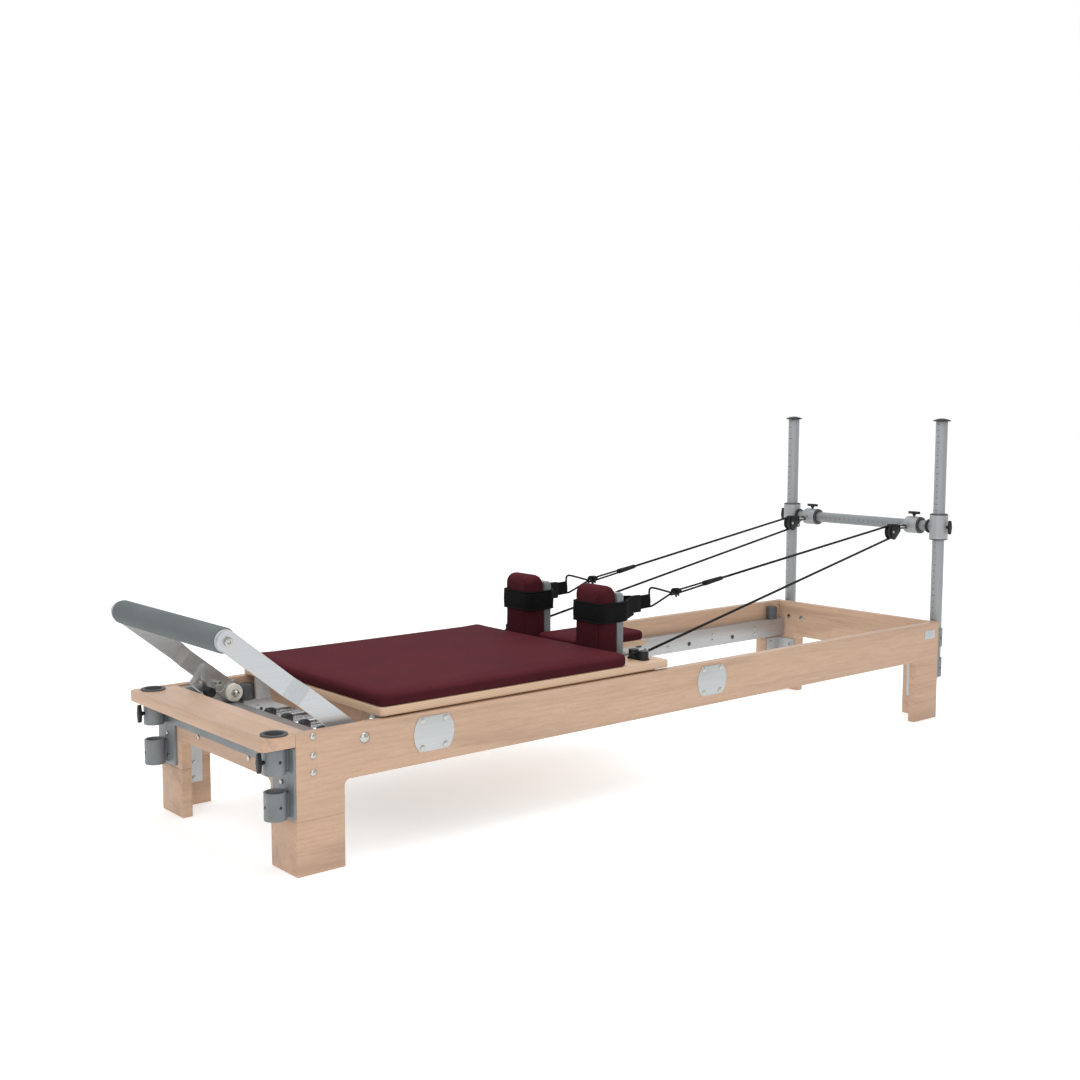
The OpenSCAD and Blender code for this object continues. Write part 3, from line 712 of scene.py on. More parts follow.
clothLook = {"steps": 20, "tension": 30, "bending": 4}


def puff(piece, voxel, pressure, cap, pinned):
    remesh = piece.modifiers.new("Remesh", "REMESH")
    remesh.mode = "VOXEL"
    remesh.voxel_size = voxel
    applyModifiers(piece)
    start = [v.co.copy() for v in piece.data.vertices]
    group = piece.vertex_groups.new(name="held")
    group.add([i for i, p in enumerate(start) if pinned(p)], 1.0, "REPLACE")
    cloth = piece.modifiers.new("Cloth", "CLOTH")
    cloth.settings.use_pressure = True
    cloth.settings.uniform_pressure_force = pressure
    cloth.settings.effector_weights.gravity = 0
    cloth.settings.tension_stiffness = clothLook["tension"]
    cloth.settings.bending_stiffness = clothLook["bending"]
    cloth.settings.vertex_group_mass = "held"
    cloth.point_cache.frame_end = clothLook["steps"]
    scene = bpy.context.scene
    for step in range(1, clothLook["steps"] + 1):
        scene.frame_set(step)
    makeActive(piece)
    bpy.ops.object.modifier_apply(modifier="Cloth")
    for v, p in zip(piece.data.vertices, start):
        move = v.co - p
        if move.length > cap:
            v.co = p + move.normalized() * cap
    scene.frame_set(1)
    piece.vertex_groups.clear()


def relax(piece, rounds):
    makeActive(piece)
    smooth = piece.modifiers.new("Smooth", "SMOOTH")
    smooth.factor = 0.5
    smooth.iterations = rounds
    applyModifiers(piece)


def makeCushion(name, look):
    low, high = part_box(name)
    inset = mm(look["shrink"])
    low = low + Vector((inset, inset, 0))
    high = high - Vector((inset, inset, inset * 1.5))
    piece = roundedBox(name + "_cover", low, high, mm(look["corner"]), mm(look["edge"]))
    puff(piece, mm(look["voxel"]), look["pressure"], mm(look["cap"]),
         lambda p: p.z < high.z - mm(look["edge"]))
    relax(piece, 3)
    for v in piece.data.vertices:
        v.co.z = max(v.co.z, low.z + 0.0001)
    subdivide = piece.modifiers.new("Subdivision", "SUBSURF")
    subdivide.levels = subdivide.render_levels = 1
    applyModifiers(piece)
    makeActive(piece)
    bpy.ops.object.shade_smooth()
    finishPiece(piece, name + "_cover", leather, look["body"],
                [name])
    return piece


for cushionName, cushionLook in cushions.items():
    makeCushion(cushionName, cushionLook)
print("cushions made")

shoulderPad = {
    "width": 112,
    "top": 28,       # radius over the top, mm
    "edge": 18,
    "grow": 1.5,     # how far the sides stand out past the plain solid, mm
    "voxel": 4,
    "cap": 4,
    "pressure": 3.0,
    "seam": 15,      # distance of the seam from the side, mm
    "groove": 1.1,
    "grooveWidth": 1.7,
    "fill": 0.9,
}


def sweepOutline(name, path, profile, closed, uvScale=1.0):
    count, ring = len(path), len(profile)
    points, faces, uvs = [], [], []
    lengths = [0.0]
    for i in range(count):
        here, there = path[i][0], path[(i + 1) % count][0]
        lengths.append(lengths[-1] + (there - here).length)
    girth = [0.0]
    for k in range(ring):
        a, b = profile[k], profile[(k + 1) % ring]
        girth.append(girth[-1] + math.hypot(b[0] - a[0], b[1] - a[1]))
    for place, side, up in path:
        points += [place + side * a + up * b for a, b in profile]
    for i in range(count if closed else count - 1):
        j = (i + 1) % count
        for k in range(ring):
            m = (k + 1) % ring
            faces.append((i * ring + k, i * ring + m, j * ring + m, j * ring + k))
            u0, u1 = lengths[i] * uvScale, lengths[i + 1] * uvScale
            v0, v1 = girth[k] * uvScale, girth[k + 1] * uvScale
            uvs += [(u0, v0), (u0, v1), (u1, v1), (u1, v0)]
    if not closed:
        last = (count - 1) * ring
        faces.append(tuple(reversed(range(ring))))
        faces.append(tuple(last + k for k in range(ring)))
        uvs += [(0, v) for v in girth[ring - 1::-1]]
        uvs += [(lengths[count - 1], v) for v in girth[:ring]]
    piece = meshPiece(name, points, faces, uvs)
    makeActive(piece)
    bpy.ops.object.mode_set(mode="EDIT")
    bpy.ops.mesh.select_all(action="SELECT")
    bpy.ops.mesh.normals_make_consistent(inside=False)
    bpy.ops.object.mode_set(mode="OBJECT")
    return piece


def curvePath(points, closed=False):
    path = []
    count = len(points)
    for i, p in enumerate(points):
        before = points[(i - 1) % count] if closed or i else p
        after = points[(i + 1) % count] if closed or i < count - 1 else p
        along = (after - before).normalized()
        guide = Vector((0, 1, 0)) if abs(along.y) < 0.9 else Vector((0, 0, 1))
        side = along.cross(guide).normalized()
        path.append((p, side, side.cross(along).normalized()))
    return path


def circleProfile(radius, sides):
    turn = 2 * math.pi / sides
    return [(radius * math.cos(k * turn), radius * math.sin(k * turn)) for k in range(sides)]


def tubeAlong(name, points, radius, sides=12, closed=False):
    piece = sweepOutline(name, curvePath(points, closed), circleProfile(radius, sides), closed)
    makeActive(piece)
    bpy.ops.object.shade_smooth()
    return piece


def smoothCurve(points, steps=6, closed=False):
    count = len(points)
    out = []
    for i in range(count if closed else count - 1):
        around = [(i + k) % count if closed else min(max(i + k, 0), count - 1)
                  for k in (-1, 0, 1, 2)]
        p = [points[k] for k in around]
        for step in range(steps):
            t = step / steps
            out.append(0.5 * (2 * p[1] + (p[2] - p[0]) * t
                              + (2 * p[0] - 5 * p[1] + 4 * p[2] - p[3]) * t * t
                              + (3 * p[1] - p[0] - 3 * p[2] + p[3]) * t ** 3))
    if not closed:
        out.append(points[-1])
    return out


def padOutline(low, high, radius, steps=10):
    out = [Vector((low.x, low.y, low.z))]
    for middle, first in ((low.x + radius, 180), (high.x - radius, 90)):
        for step in range(steps + 1):
            angle = math.radians(first - 90 * step / steps)
            rise = high.z - radius + radius * math.sin(angle)
            out.append(Vector((middle + radius * math.cos(angle), low.y, rise)))
    out.append(Vector((high.x, low.y, low.z)))
    return out


def makeShoulderPad(tag, low, high):
    outline = padOutline(low, high, mm(shoulderPad["top"]))
    count = len(outline)
    points = outline + [Vector((p.x, high.y, p.z)) for p in outline]
    faces = [tuple(range(count)), tuple(reversed(range(count, 2 * count)))]
    faces += [(k, k + count, (k + 1) % count + count, (k + 1) % count)
              for k in range(count)]
    piece = meshPiece("shoulder_pad_" + tag, points, faces)
    makeActive(piece)
    bpy.ops.object.mode_set(mode="EDIT")
    bpy.ops.mesh.select_all(action="SELECT")
    bpy.ops.mesh.normals_make_consistent(inside=False)
    bpy.ops.object.mode_set(mode="OBJECT")
    softenSides(piece, low, high)
    puff(piece, mm(shoulderPad["voxel"]), shoulderPad["pressure"], mm(shoulderPad["cap"]),
         lambda p: p.x > high.x - mm(4) or p.z < low.z + mm(8))
    relax(piece, 2)
    subdivide = piece.modifiers.new("Subdivision", "SUBSURF")
    subdivide.levels = subdivide.render_levels = 1
    applyModifiers(piece)
    seam = mm(shoulderPad["seam"])
    sinkSeams(piece, (low.y + seam, high.y - seam))
    makeActive(piece)
    bpy.ops.object.shade_smooth()
    replaced = ["shoulder_pads"] if tag == "near" else []
    finishPiece(piece, "shoulder_pad_" + tag, padLeather, "carriage",
                replaced)


def softenSides(piece, low, high):
    makeActive(piece)
    bpy.ops.object.mode_set(mode="EDIT")
    bpy.ops.mesh.select_mode(type="EDGE")
    bpy.ops.mesh.select_all(action="DESELECT")
    mesh = bmesh.from_edit_mesh(piece.data)
    for e in mesh.edges:
        a, b = (v.co for v in e.verts)
        flat = abs(a.y - b.y) < 1e-6
        back = min(a.x, b.x) > high.x - 1e-5
        foot = max(a.z, b.z) < low.z + 1e-5
        e.select = flat and not back and not foot
    bmesh.update_edit_mesh(piece.data)
    bpy.ops.mesh.bevel(offset=mm(shoulderPad["edge"]), segments=5, affect="EDGES")
    bpy.ops.object.mode_set(mode="OBJECT")


def sinkSeams(piece, seams):
    depth, spread = mm(shoulderPad["groove"]), mm(shoulderPad["grooveWidth"])
    moves = []
    for v in piece.data.vertices:
        near = min(abs(v.co.y - y) for y in seams)
        moves.append(v.normal * -depth * math.exp(-(near / spread) ** 2))
    for v, move in zip(piece.data.vertices, moves):
        v.co += move


def shoulderPads():
    low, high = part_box("shoulder_pads")
    grow, width = mm(shoulderPad["grow"]), mm(shoulderPad["width"])
    for tag, first in (("near", low.y), ("far", high.y - width)):
        makeShoulderPad(tag, Vector((low.x - grow, first - grow, low.z)),
                        Vector((high.x - mm(0.3), first + width + grow, high.z)))


shoulderPads()
print("shoulder pads made")


grip = {"radius": 28.5, "end": 6, "turns": 64}


def footbarGrip():
    low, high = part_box("footbar_pad")
    middle = (low + high) / 2
    deselectAll()
    bpy.ops.mesh.primitive_cylinder_add(
        vertices=grip["turns"], radius=mm(grip["radius"]), depth=high.y - low.y,
        location=middle, rotation=(math.radians(90), 0, 0))
    piece = bpy.context.active_object
    applyPlace(piece)
    addBevel(piece, mm(grip["end"]), 5, 50)
    applyModifiers(piece)
    smoothByAngle(piece, 40)
    finishPiece(piece, "footbar_grip", foam, "footbar", ["footbar_pad"])


footbarGrip()


springLook = {
    "count": 5,
    "side": 11,        # from the row's edge to the first spring's middle, mm
    "wire": 1.7,
    "radius": 9.2,
    "pitch": 3.9,
    "points": 10,
    "sides": 6,
    "lead": 14,        # straight wire at each end
    "hold": 4,
}


def springRows(low, high):
    side = mm(springLook["side"])
    gap = (high.y - low.y - 2 * side) / (springLook["count"] - 1)
    return [low.y + side + i * gap for i in range(springLook["count"])]


def springs():
    low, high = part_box("springs")
    coil = mm(springLook["radius"])
    z = (low.z + high.z) / 2
    hold = mm(springLook["hold"])
    for i, y in enumerate(springRows(low, high)):
        begin, end = low.x + mm(springLook["lead"]), high.x - mm(springLook["lead"])
        turns = round((end - begin) / mm(springLook["pitch"]))
        steps = turns * springLook["points"]
        points = [Vector((low.x - mm(1), y, z)), Vector((begin - hold, y, z))]
        for step in range(steps + 1):
            angle = 2 * math.pi * step / springLook["points"]
            grow = min(1, step / springLook["points"],
                       (steps - step) / springLook["points"])
            points.append(Vector((begin + (end - begin) * step / steps,
                                  y + coil * grow * math.cos(angle),
                                  z + coil * grow * math.sin(angle))))
        points += [Vector((end + hold, y, z)), Vector((high.x, y, z))]
        piece = tubeAlong(f"spring_{i + 1}", points, mm(springLook["wire"]),
                          springLook["sides"])
        setMaterial(piece, springSteel)
        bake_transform(piece)
        if i == 0:
            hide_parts("springs")


springs()
print("springs made")


sides = {
    "near": {"sign": -1, "collar": "near_collar", "sheave": "sheave_near", "rope": "rope_near"},
    "far": {"sign": 1, "collar": "far_collar", "sheave": "sheave_far", "rope": "rope_far"},
}

strapLook = {
    "low": 436.5, "high": 491,      # height of the band's edges, mm
    "thick": 6,
    "gap": 3.4,                     # from the pad to the band's middle
    "corner": 17,
    "tailY": 176,                   # distance of the tail from the middle plane
    "tailThick": 7,
    "tailHalf": 19,
    "join": 86,                     # where the band's ends meet, past the pad
    "keeper": (34, 13, 48),
    "tailRise": 11,
    "behind": 25,                   # from the pad's back to the band's last corner
    "flat": 30,                     # straight stretch before that corner
}


def bandProfile(half, thick, bead=1.0):
    t = thick / 2
    beadOut, beadMid = 0.62 + 0.5 * bead, 0.62 + 0.45 * bead
    side = [(0.8, 0.74), (1.0, 0.45), (1.12, 0.0), (1.0, -0.45), (0.8, -0.74),
            (0.62, -0.82), (beadMid, -0.88), (beadOut, -0.95), (0.55, -1.0)]
    upper = [(0.55, 1.0), (beadOut, 0.95), (beadMid, 0.88), (0.62, 0.82)]
    outer = upper + side
    inner = [(-a, b) for a, b in reversed(outer)]
    return [(a * t, b * half) for a, b in outer + inner]


def flatPath(points, closed):
    path = []
    count = len(points)
    for i, p in enumerate(points):
        before = points[(i - 1) % count] if closed or i else p
        after = points[(i + 1) % count] if closed or i < count - 1 else p
        along = (after - before).normalized()
        up = (Vector((0, 0, 1)) - along * along.z).normalized()
        path.append((p, along.cross(up).normalized(), up))
    return path


def bandPath(padLow, padHigh, join, tail):
    out = padHigh.y + mm(shoulderPad["grow"])
    inner = padHigh.y - mm(shoulderPad["width"] + shoulderPad["grow"])
    front = padLow.x - mm(shoulderPad["grow"])
    back = padHigh.x + mm(strapLook["behind"])
    gap, turn = mm(strapLook["gap"]), mm(strapLook["corner"])
    straight = back - mm(strapLook["flat"])
    arc = [(front - gap + turn * (1 - math.sin(t)), turn * (1 - math.cos(t)))
           for t in [math.radians(90 * k / 5) for k in range(6)]]
    path = [(join, tail + mm(4), 7), (back + mm(20), (tail + out) / 2 + mm(8), 4),
            (back, out + gap, 1), (straight, out + gap, 0)]
    path += [(x, out + gap - y, 0) for x, y in arc]
    path += [(front - gap - mm(1), (out + inner) / 2, 0)]
    path += [(x, inner - gap + y, 0) for x, y in reversed(arc)]
    path += [(straight, inner - gap, 0), (back, inner - gap, 1),
             (back + mm(20), (tail + inner) / 2 - mm(12), 4), (join, tail - mm(4), 7)]
    return path


def strapBand(tag, path, sign, z):
    points = smoothCurve([Vector((x, y * sign, z + mm(rise))) for x, y, rise in path], 4)
    half = mm(strapLook["high"] - strapLook["low"]) / 2
    profile = bandProfile(half, mm(strapLook["thick"]))
    band = sweepOutline("strap_band_" + tag, flatPath(points, False), profile, False)
    smoothByAngle(band, 50)
    replaced = ["strap_loops"] if tag == "near" else []
    finishPiece(band, "strap_band_" + tag, strapCloth, "carriage",
                replaced)


def strapTail(tag, join, y, z, rise):
    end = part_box("strap_loops")[1].x
    points = smoothCurve([
        Vector((join - mm(8), y, z + mm(8))), Vector((join + mm(10), y, rise)),
        Vector((end - mm(26), y, rise + mm(2))), Vector((end - mm(4), y, rise + mm(3)))], 5)
    profile = bandProfile(mm(strapLook["tailHalf"]), mm(strapLook["tailThick"]))
    piece = sweepOutline("strap_tail_" + tag, flatPath(points, False), profile, False)
    smoothByAngle(piece, 50)
    finishPiece(piece, "strap_tail_" + tag, strapCloth, "carriage")


def strapKeeper(tag, join, y, rise):
    deselectAll()
    place = (join + mm(14), y, rise - mm(1))
    bpy.ops.mesh.primitive_cube_add(size=1, location=place)
    keeper = bpy.context.active_object
    keeper.scale = [mm(v) for v in strapLook["keeper"]]
    applyPlace(keeper)
    addBevel(keeper, mm(3), 3, 40)
    applyModifiers(keeper)
    smoothByAngle(keeper, 40)
    finishPiece(keeper, "strap_keeper_" + tag, keeperBlack, "carriage")


def makeStrap(tag, info):
    padLow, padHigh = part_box("shoulder_pads")
    sign = info["sign"]
    z = mm((strapLook["low"] + strapLook["high"]) / 2)
    rise = z + mm(strapLook["tailRise"])
    tail = mm(strapLook["tailY"])
    join = padHigh.x + mm(strapLook["join"])
    strapBand(tag, bandPath(padLow, padHigh, join, tail), sign, z)
    strapTail(tag, join, tail * sign, z, rise)
    strapKeeper(tag, join, tail * sign, rise)


ropeLook = {
    "radius": 3.6,
    "thin": 2.9,           # the doubled cord and the triangle
    "travel": 950,         # how far the carriage moves
    "tailZ": 487,
    "apex": 84,            # from the strap's end to the triangle's point
    "doubled": 0.12,       # shares of the run from knot to wheel
    "spliced": 0.19,
    "splice": 2.0,         # splice radius beside the thin cord's
    "cleatSide": 33,       # from the cleats' outer side to the eye
}


def hookTo(piece, body, weights):
    empty = bpy.data.objects.new(piece.name + "_" + body + "_hook", None)
    bpy.context.scene.collection.objects.link(empty)
    empty.parent = frame["bodies"][body]
    group = piece.vertex_groups.new(name=body)
    for index, weight in enumerate(weights):
        group.add([index], weight, "REPLACE")
    hook = piece.modifiers.new(body, "HOOK")
    hook.object = empty
    hook.vertex_group = group.name


def joinMeshes(pieces, name):
    deselectAll()
    for piece in pieces:
        piece.select_set(True)
    bpy.context.view_layer.objects.active = pieces[0]
    bpy.ops.object.join()
    pieces[0].name = name
    return pieces[0]


knotLook = {"steps": 46, "sizes": (14, 12), "apart": 10, "ahead": 12}


def knot(name, centre, radius, size):
    points = []
    steps = knotLook["steps"]
    for i in range(steps):
        t = 2 * math.pi * i / steps
        swell = 0.55 + 0.3 * math.cos(3 * t)
        wrap = Vector((math.cos(2 * t) * swell, math.sin(2 * t) * swell,
                       0.42 * math.sin(3 * t)))
        points.append(centre + Vector((wrap.z * 1.5, wrap.x, wrap.y)) * size)
    return tubeAlong(name, points, radius, 8, closed=True)


def cordTriangle(tag, start, y, apex):
    z, thin = mm(ropeLook["tailZ"]), mm(ropeLook["thin"])
    points = smoothCurve([
        Vector((start - mm(6), y, z)), Vector((start - mm(6), y, z + mm(18))),
        Vector((start - mm(2), y, z + mm(25))), Vector((start + mm(12), y, z + mm(25))),
        apex + Vector((-mm(14), 0, mm(5))), apex, apex + Vector((-mm(14), 0, -mm(5))),
        Vector((start + mm(12), y, z - mm(23))), Vector((start - mm(2), y, z - mm(25))),
        Vector((start - mm(6), y, z - mm(18)))], 5, closed=True)
    piece = tubeAlong("cord_triangle_" + tag, points, thin, 10, closed=True)
    finishPiece(piece, "cord_triangle_" + tag, ropeBraid, "carriage")


def spliceSleeve(begin, end, thin):
    steps = 8
    path = curvePath([begin + (end - begin) * k / steps for k in range(steps + 1)])
    shrunk = [(p, s * (1.3 - 0.03 * i), u * (1.75 - 0.06 * i))
              for i, (p, s, u) in enumerate(path)]
    profile = circleProfile(thin * ropeLook["splice"], 12)
    return sweepOutline("splice", shrunk, profile, False)


# from the knot to the top of the wheel: knot, doubled cord, splice, rope
def upperRun(tag, info, apex, top):
    radius, thin = mm(ropeLook["radius"]), mm(ropeLook["thin"])
    knotAt = apex + Vector((mm(knotLook["ahead"]), 0, mm(1)))
    nextKnot = knotAt + Vector((mm(knotLook["apart"]), 0, mm(1)))
    first, second = [mm(size) for size in knotLook["sizes"]]
    span = top - knotAt
    doubleEnd = knotAt + span * ropeLook["doubled"]
    spliceEnd = knotAt + span * ropeLook["spliced"]
    lift = Vector((0, 0, 1)) * thin * 1.5
    parts = [knot("knot", knotAt, thin, first), knot("knot", nextKnot, thin, second)]
    for side in (lift, -lift * 1.1):
        cord = [knotAt + span * 0.005 + side, doubleEnd + side * 0.8,
                spliceEnd + side * 0.5]
        parts.append(tubeAlong("double", cord, thin, 10))
    parts.append(spliceSleeve(doubleEnd, spliceEnd, thin))
    run = [spliceEnd - span * 0.02, spliceEnd + (top - spliceEnd) * 0.5, top]
    parts.append(tubeAlong("run", run, radius, 12))
    upper = joinMeshes(parts, "rope_upper_" + tag)
    bpy.ops.object.shade_smooth()
    setMaterial(upper, ropeBraid)
    attachRun(upper, top, apex.x, info["collar"])
    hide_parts(info["rope"])


def wheelWrap(tag, info, wheel, ring):
    steps = 24
    turns = [math.radians(92 - 184 * k / steps) for k in range(steps + 1)]
    arc = [Vector((wheel.x + ring * math.cos(a), wheel.y, wheel.z + ring * math.sin(a)))
           for a in turns]
    wrap = tubeAlong("rope_wrap_" + tag, arc, mm(ropeLook["radius"]), 12)
    finishPiece(wrap, "rope_wrap_" + tag, ropeBraid, info["collar"])


# from the bottom of the wheel down to the cleat on the carriage
def lowerRun(tag, info, bottom):
    sign, radius = info["sign"], mm(ropeLook["radius"])
    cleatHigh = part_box("rope_cleats")[1]
    cleatY = (cleatHigh.y - mm(ropeLook["cleatSide"])) * sign
    eye = Vector((cleatHigh.x - mm(1), cleatY, cleatHigh.z - mm(9)))
    run = [eye, eye + (bottom - eye) * 0.5, bottom]
    lower = tubeAlong("rope_lower_" + tag, run, radius, 12)
    setMaterial(lower, ropeBraid)
    attachRun(lower, bottom, eye.x, info["collar"])
    stub = tubeAlong("rope_end_" + tag, smoothCurve([
        eye + Vector((mm(0.5), 0, 0)), eye + Vector((-mm(14), 0, -mm(1))),
        eye + Vector((-mm(42), 0, 0)), eye + Vector((-mm(56), 0, -mm(2))),
        eye + Vector((-mm(68), mm(2) * sign, -mm(9)))], 5), radius, 12)
    finishPiece(stub, "rope_end_" + tag, ropeBraid, "carriage")


def makeRope(tag, info):
    low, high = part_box(info["sheave"])
    wheel = (low + high) / 2
    ring = high.x - wheel.x - mm(4)
    tail = mm(strapLook["tailY"]) * info["sign"]
    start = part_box("strap_loops")[1].x
    reach = mm(ropeLook["apex"])
    apex = Vector((start + reach, tail, mm(ropeLook["tailZ"]) + mm(4)))
    cordTriangle(tag, start, tail, apex)
    upperRun(tag, info, apex, Vector((wheel.x, wheel.y, wheel.z + ring)))
    wheelWrap(tag, info, wheel, ring)
    lowerRun(tag, info, Vector((wheel.x, wheel.y, wheel.z - ring)))


def attachRun(piece, top, farX, collar):
    length = top.x - farX
    weights = [min(1, max(0, (v.co.x - farX) / length)) for v in piece.data.vertices]
    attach(piece, "frame")
    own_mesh(piece)
    hookTo(piece, collar, weights)


for sideTag, sideInfo in sides.items():
    makeStrap(sideTag, sideInfo)
    makeRope(sideTag, sideInfo)
print("straps and ropes made")


fittings = {
    "handle": (28, 25),        # spring handles: length and width, mm
    "liner": (3.2, 3.4, 0.4),  # liner rings: inset, thickness, stand-out, mm
    "eye": (9, 1.8, 1.5),      # cleat eyes: radius, wire, inset, mm
    "batten": (251, 22, 6),    # battens: distance from the middle, width, inset, mm
    "foot": (14, 9),           # headrest feet: width and height, mm
    "trackWall": 26,
    # along and up from the track's lower foot-end corner, and the radius, mm
    "trackHoles": ((50.5, 14.5, 4.4), (50.5, 33, 4.4), (1667, 21, 7), (1884, 21, 7)),
}


def spinRing(name, centre, axis, major, minor, sides=32):
    turn = {"X": Matrix.Rotation(math.pi / 2, 3, "Y"),
            "Y": Matrix.Rotation(math.pi / 2, 3, "X"),
            "Z": Matrix.Identity(3)}[axis]
    points = []
    for k in range(sides):
        angle = 2 * math.pi * k / sides
        spoke = Vector((major * math.cos(angle), major * math.sin(angle), 0))
        points.append(centre + turn @ spoke)
    path = []
    for p in points:
        path.append((p, (p - centre).normalized(), turn @ Vector((0, 0, 1))))
    piece = sweepOutline(name, path, circleProfile(minor, 10), True)
    makeActive(piece)
    bpy.ops.object.shade_smooth()
    return piece


def boltHead(name, centre, direction, radius, height, socket=0.45):
    deselectAll()
    bpy.ops.mesh.primitive_cylinder_add(vertices=32, radius=radius, depth=height)
    piece = bpy.context.active_object
    bpy.ops.object.mode_set(mode="EDIT")
    bpy.ops.mesh.select_mode(type="FACE")
    bpy.ops.mesh.select_all(action="DESELECT")
    mesh = bmesh.from_edit_mesh(piece.data)
    for face in mesh.faces:
        face.select = face.normal.z > 0.9
    bmesh.update_edit_mesh(piece.data)
    bpy.ops.mesh.inset(thickness=radius * 0.22)
    bpy.ops.transform.translate(value=(0, 0, radius * 0.12))
    bpy.ops.mesh.inset(thickness=radius * (0.78 - socket))
    sink = (0, 0, -height * 0.45)
    bpy.ops.mesh.extrude_region_move(TRANSFORM_OT_translate={"value": sink})
    bpy.ops.object.mode_set(mode="OBJECT")
    turn = Vector(direction).to_track_quat("Z", "Y").to_matrix().to_4x4()
    place = centre + Vector(direction).normalized() * height / 2
    piece.data.transform(Matrix.Translation(place) @ turn)
    smoothByAngle(piece, 40)
    piece.name = name
    return piece


def roundedBlock(name, centre, size, edge, segments=3):
    deselectAll()
    bpy.ops.mesh.primitive_cube_add(size=1, location=centre)
    piece = bpy.context.active_object
    piece.scale = size
    applyPlace(piece)
    addBevel(piece, edge, segments, 40)
    applyModifiers(piece)
    smoothByAngle(piece, 40)
    piece.name = name
    return piece


def sleeveLiners():
    low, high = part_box("crossbar_sleeves")
    radius = (high.x - low.x) / 2
    inset, thick, out = [mm(v) for v in fittings["liner"]]
    for tag, sign in (("near", -1), ("far", 1)):
        y = (high.y - radius) * sign
        rings = [spinRing("ring", Vector((towerX, y, z)), "Z", radius - inset, thick, 48)
                 for z in (low.z - out, high.z + out)]
        piece = joinMeshes(rings, "sleeve_liners_" + tag)
        finishPiece(piece, piece.name, satinBlack, "crossbar")


pulleyArm = {
    "start": (40, 0, 14),      # from the wheel's middle: where the arm leaves the cheeks, mm
    "end": (64, -16, 14),      # and where it meets the collar
    "half": 6.4,
    "bolts": 9,
    "boltX": 57,
    "rivet": 3.3,              # how far the axle's heads stand off the wheel
}


def pulleyBolts():
    for tag, info in sides.items():
        low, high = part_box(info["sheave"])
        wheel = (low + high) / 2
        reach = (high.y - low.y) / 2 + mm(pulleyArm["rivet"])
        start, end = [wheel + Vector([mm(v) for v in pulleyArm[key]])
                      for key in ("start", "end")]
        parts = []
        for way in (-1, 1):
            place = Vector((wheel.x, wheel.y + reach * way, wheel.z))
            parts.append(boltHead("rivet", place, (0, way, 0), mm(5), mm(1.6), 0.3))
        for way in (-1, 1):
            place = Vector((wheel.x + mm(pulleyArm["boltX"]),
                            end.y + mm(pulleyArm["bolts"]) * way,
                            barZ - mm(1 + 3 * way)))
            parts.append(boltHead("bolt", place, (-1, 0, 0.05), mm(5.5), mm(5)))
        line = [start, start + (end - start) * 0.5, end]
        parts.append(tubeAlong("arm", line, mm(pulleyArm["half"]) * 1.36, 4))
        piece = joinMeshes(parts, "pulley_bolts_" + tag)
        finishPiece(piece, piece.name, zinc, info["collar"])


def cleatEyes():
    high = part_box("rope_cleats")[1]
    radius, wire, inset = [mm(v) for v in fittings["eye"]]
    side = high.y - mm(ropeLook["cleatSide"])
    parts = [spinRing("eye", Vector((high.x - inset, side * sign, high.z - radius - inset)),
                      "X", radius, wire) for sign in (-1, 1)]
    piece = joinMeshes(parts, "cleat_eyes")
    finishPiece(piece, piece.name, zinc, "carriage")


def battenEnds():
    low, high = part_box("carriage_board")
    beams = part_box("carriage_beams")
    away, wide, inset = [mm(v) for v in fittings["batten"]]
    blocks = []
    for sign in (-1, 1):
        middle = Vector(((beams[1].x + high.x) / 2 - inset, away * sign,
                         (low.z + beams[0].z) / 2))
        size = (high.x - beams[1].x - 2 * inset, wide, low.z - beams[0].z)
        blocks.append(roundedBlock("batten", middle, size, mm(1.5), 2))
    piece = joinMeshes(blocks, "batten_ends")
    finishPiece(piece, piece.name, beechX, "carriage")


def springHandles():
    low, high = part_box("springs")
    long, wide = [mm(v) for v in fittings["handle"]]
    z = (low.z + high.z) / 2
    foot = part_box("spring_bar")[1].x
    blocks = []
    for y in springRows(low, high):
        centre = Vector((foot + long / 2 + mm(14), y, z + mm(2)))
        size = (long, wide, wide)
        blocks.append(roundedBlock("handle", centre, size, mm(8), 4))
    piece = joinMeshes(blocks, "spring_handles")
    finishPiece(piece, piece.name, satinBlack, "frame")


def indexRing():
    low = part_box("index_bracket")[0]
    knobLow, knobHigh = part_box("index_plunger")
    knob = (knobLow + knobHigh) / 2
    place = Vector((knob.x + mm(33), low.y, knob.z + mm(17)))
    pin = boltHead("index_pin_head", place, (0, -1, 0), mm(7), mm(16), 0.3)
    hang = place + Vector((mm(2), -mm(11), -mm(12)))
    ring = spinRing("ring", hang, "Y", mm(11), mm(1.1), 40)
    piece = joinMeshes([pin, ring], "index_pull_ring")
    finishPiece(piece, piece.name, zinc, "footbar")


def headrestFoot():
    low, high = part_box("headrest_board")
    wide, tall = [mm(v) for v in fittings["foot"]]
    feet = [roundedBlock("foot", Vector((high.x - mm(15), y, low.z - tall / 2)),
                         (wide, wide, tall), mm(3)) for y in (low.y + wide, high.y - wide)]
    piece = joinMeshes(feet, "headrest_feet")
    finishPiece(piece, piece.name, greyRubber, "headrest")


# painted shade: satin-black discs stand in for the shade inside the track's holes
def trackHoles():
    low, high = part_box("track_rails")
    parts = []
    for sign in (-1, 1):
        inner = (high.y - mm(fittings["trackWall"])) * sign
        for x, z, radius in fittings["trackHoles"]:
            centre = Vector((low.x + mm(x), inner - mm(0.2) * sign, low.z + mm(z)))
            parts.append(boltHead("hole", centre, (0, -sign, 0), mm(radius), mm(0.8), 0.6))
    piece = joinMeshes(parts, "track_hole_shade")
    finishPiece(piece, piece.name, satinBlack, "frame")


sleeveLiners()
pulleyBolts()
cleatEyes()
battenEnds()
springHandles()
indexRing()
headrestFoot()
trackHoles()
print("small fittings made")


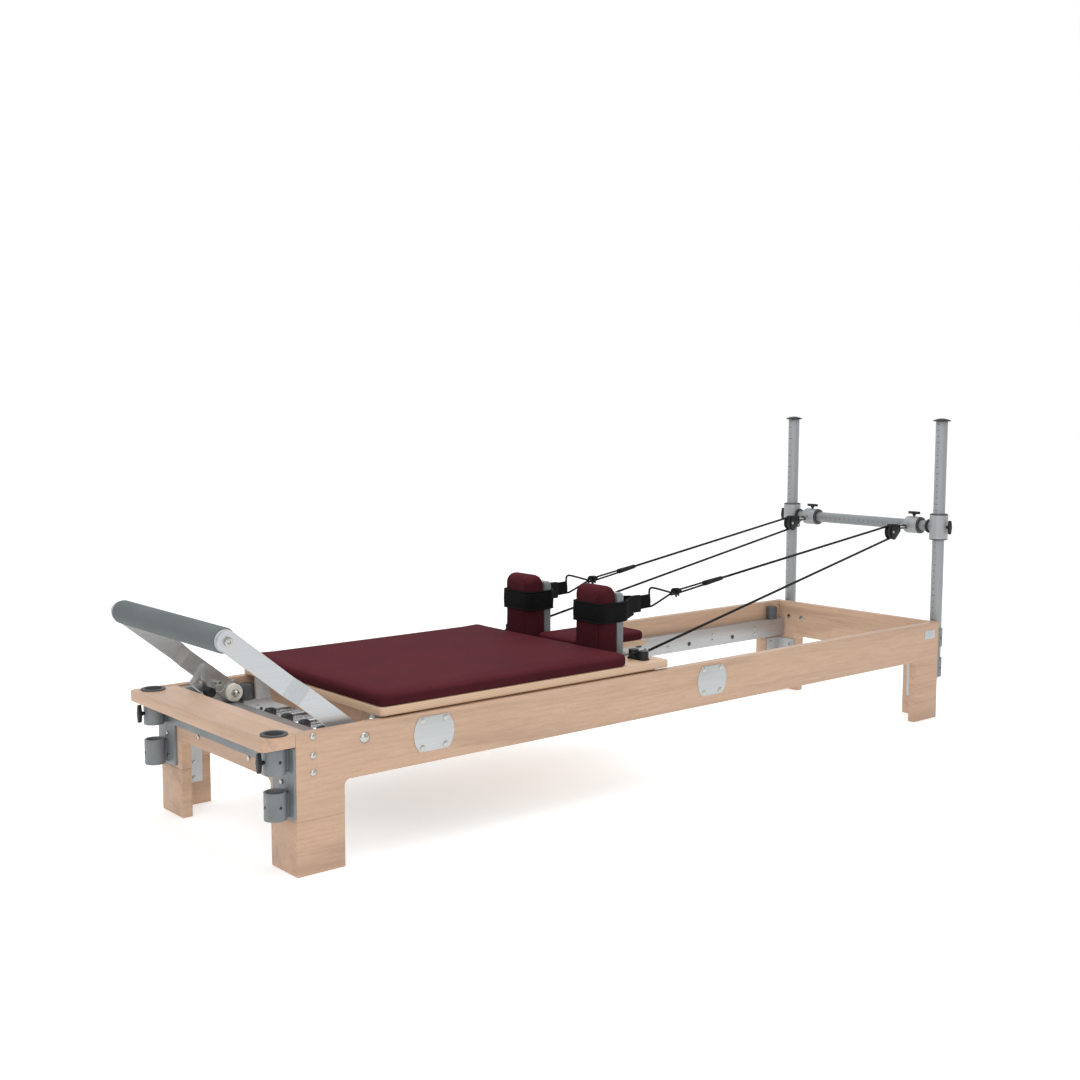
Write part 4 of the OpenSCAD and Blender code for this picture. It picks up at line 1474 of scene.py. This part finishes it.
room = {
    "floor": 60,
    "floorColor": (0.80, 0.80, 0.80),
    "floorGlow": 0.44,
    "front": 1.0,      # brightness of the backdrop the camera faces
    "behind": 0.62,    # brightness of the studio behind the camera
}


def addFloor():
    deselectAll()
    bpy.ops.mesh.primitive_plane_add(size=room["floor"], location=(0, 0, -0.0005))
    floor = bpy.context.active_object
    floor.name = "floor"
    s = Shader("paleFloor")
    s.setValues(Base_Color=(*room["floorColor"], 1), Roughness=0.95, Specular_IOR_Level=0.1,
                Emission_Color=(1, 1, 1, 1), Emission_Strength=room["floorGlow"])
    setMaterial(floor, s.material)


def addWorld():
    world = bpy.data.worlds.new("studio")
    bpy.context.scene.world = world
    world.use_nodes = True
    tree = world.node_tree
    coords = tree.nodes.new("ShaderNodeTexCoord")
    facing = tree.nodes.new("ShaderNodeVectorMath")
    facing.operation = "DOT_PRODUCT"
    yaw = math.radians(cameraView["yaw"])
    facing.inputs[1].default_value = (math.sin(yaw), math.cos(yaw), 0)
    tree.links.new(coords.outputs["Generated"], facing.inputs[0])
    level = tree.nodes.new("ShaderNodeMapRange")
    level.inputs["From Min"].default_value = -0.3
    level.inputs["From Max"].default_value = 0.5
    level.inputs["To Min"].default_value = room["behind"]
    level.inputs["To Max"].default_value = room["front"]
    tree.links.new(facing.outputs["Value"], level.inputs["Value"])
    background = tree.nodes["Background"]
    background.inputs["Color"].default_value = (1, 1, 1, 1)
    tree.links.new(level.outputs["Result"], background.inputs["Strength"])


lights = [
    # place, aim, size, watts
    ((-1.0, -0.4, 3.6), (-0.4, 0, 0), 3.6, 58),
    ((-3.0, -3.4, 1.9), (0, 0, 0.3), 2.4, 28),
    ((2.6, 3.0, 3.0), (0, 0, 0.3), 2.4, 12),
]


def addLights():
    for place, aim, size, power in lights:
        deselectAll()
        bpy.ops.object.light_add(type="AREA", location=place)
        light = bpy.context.active_object
        light.data.size = size
        light.data.energy = power
        light.rotation_euler = (Vector(aim) - Vector(place)).to_track_quat("-Z", "Y").to_euler()


addFloor()
addWorld()
addLights()
bpy.context.scene.view_settings.view_transform = "Standard"
print("room and lights made")
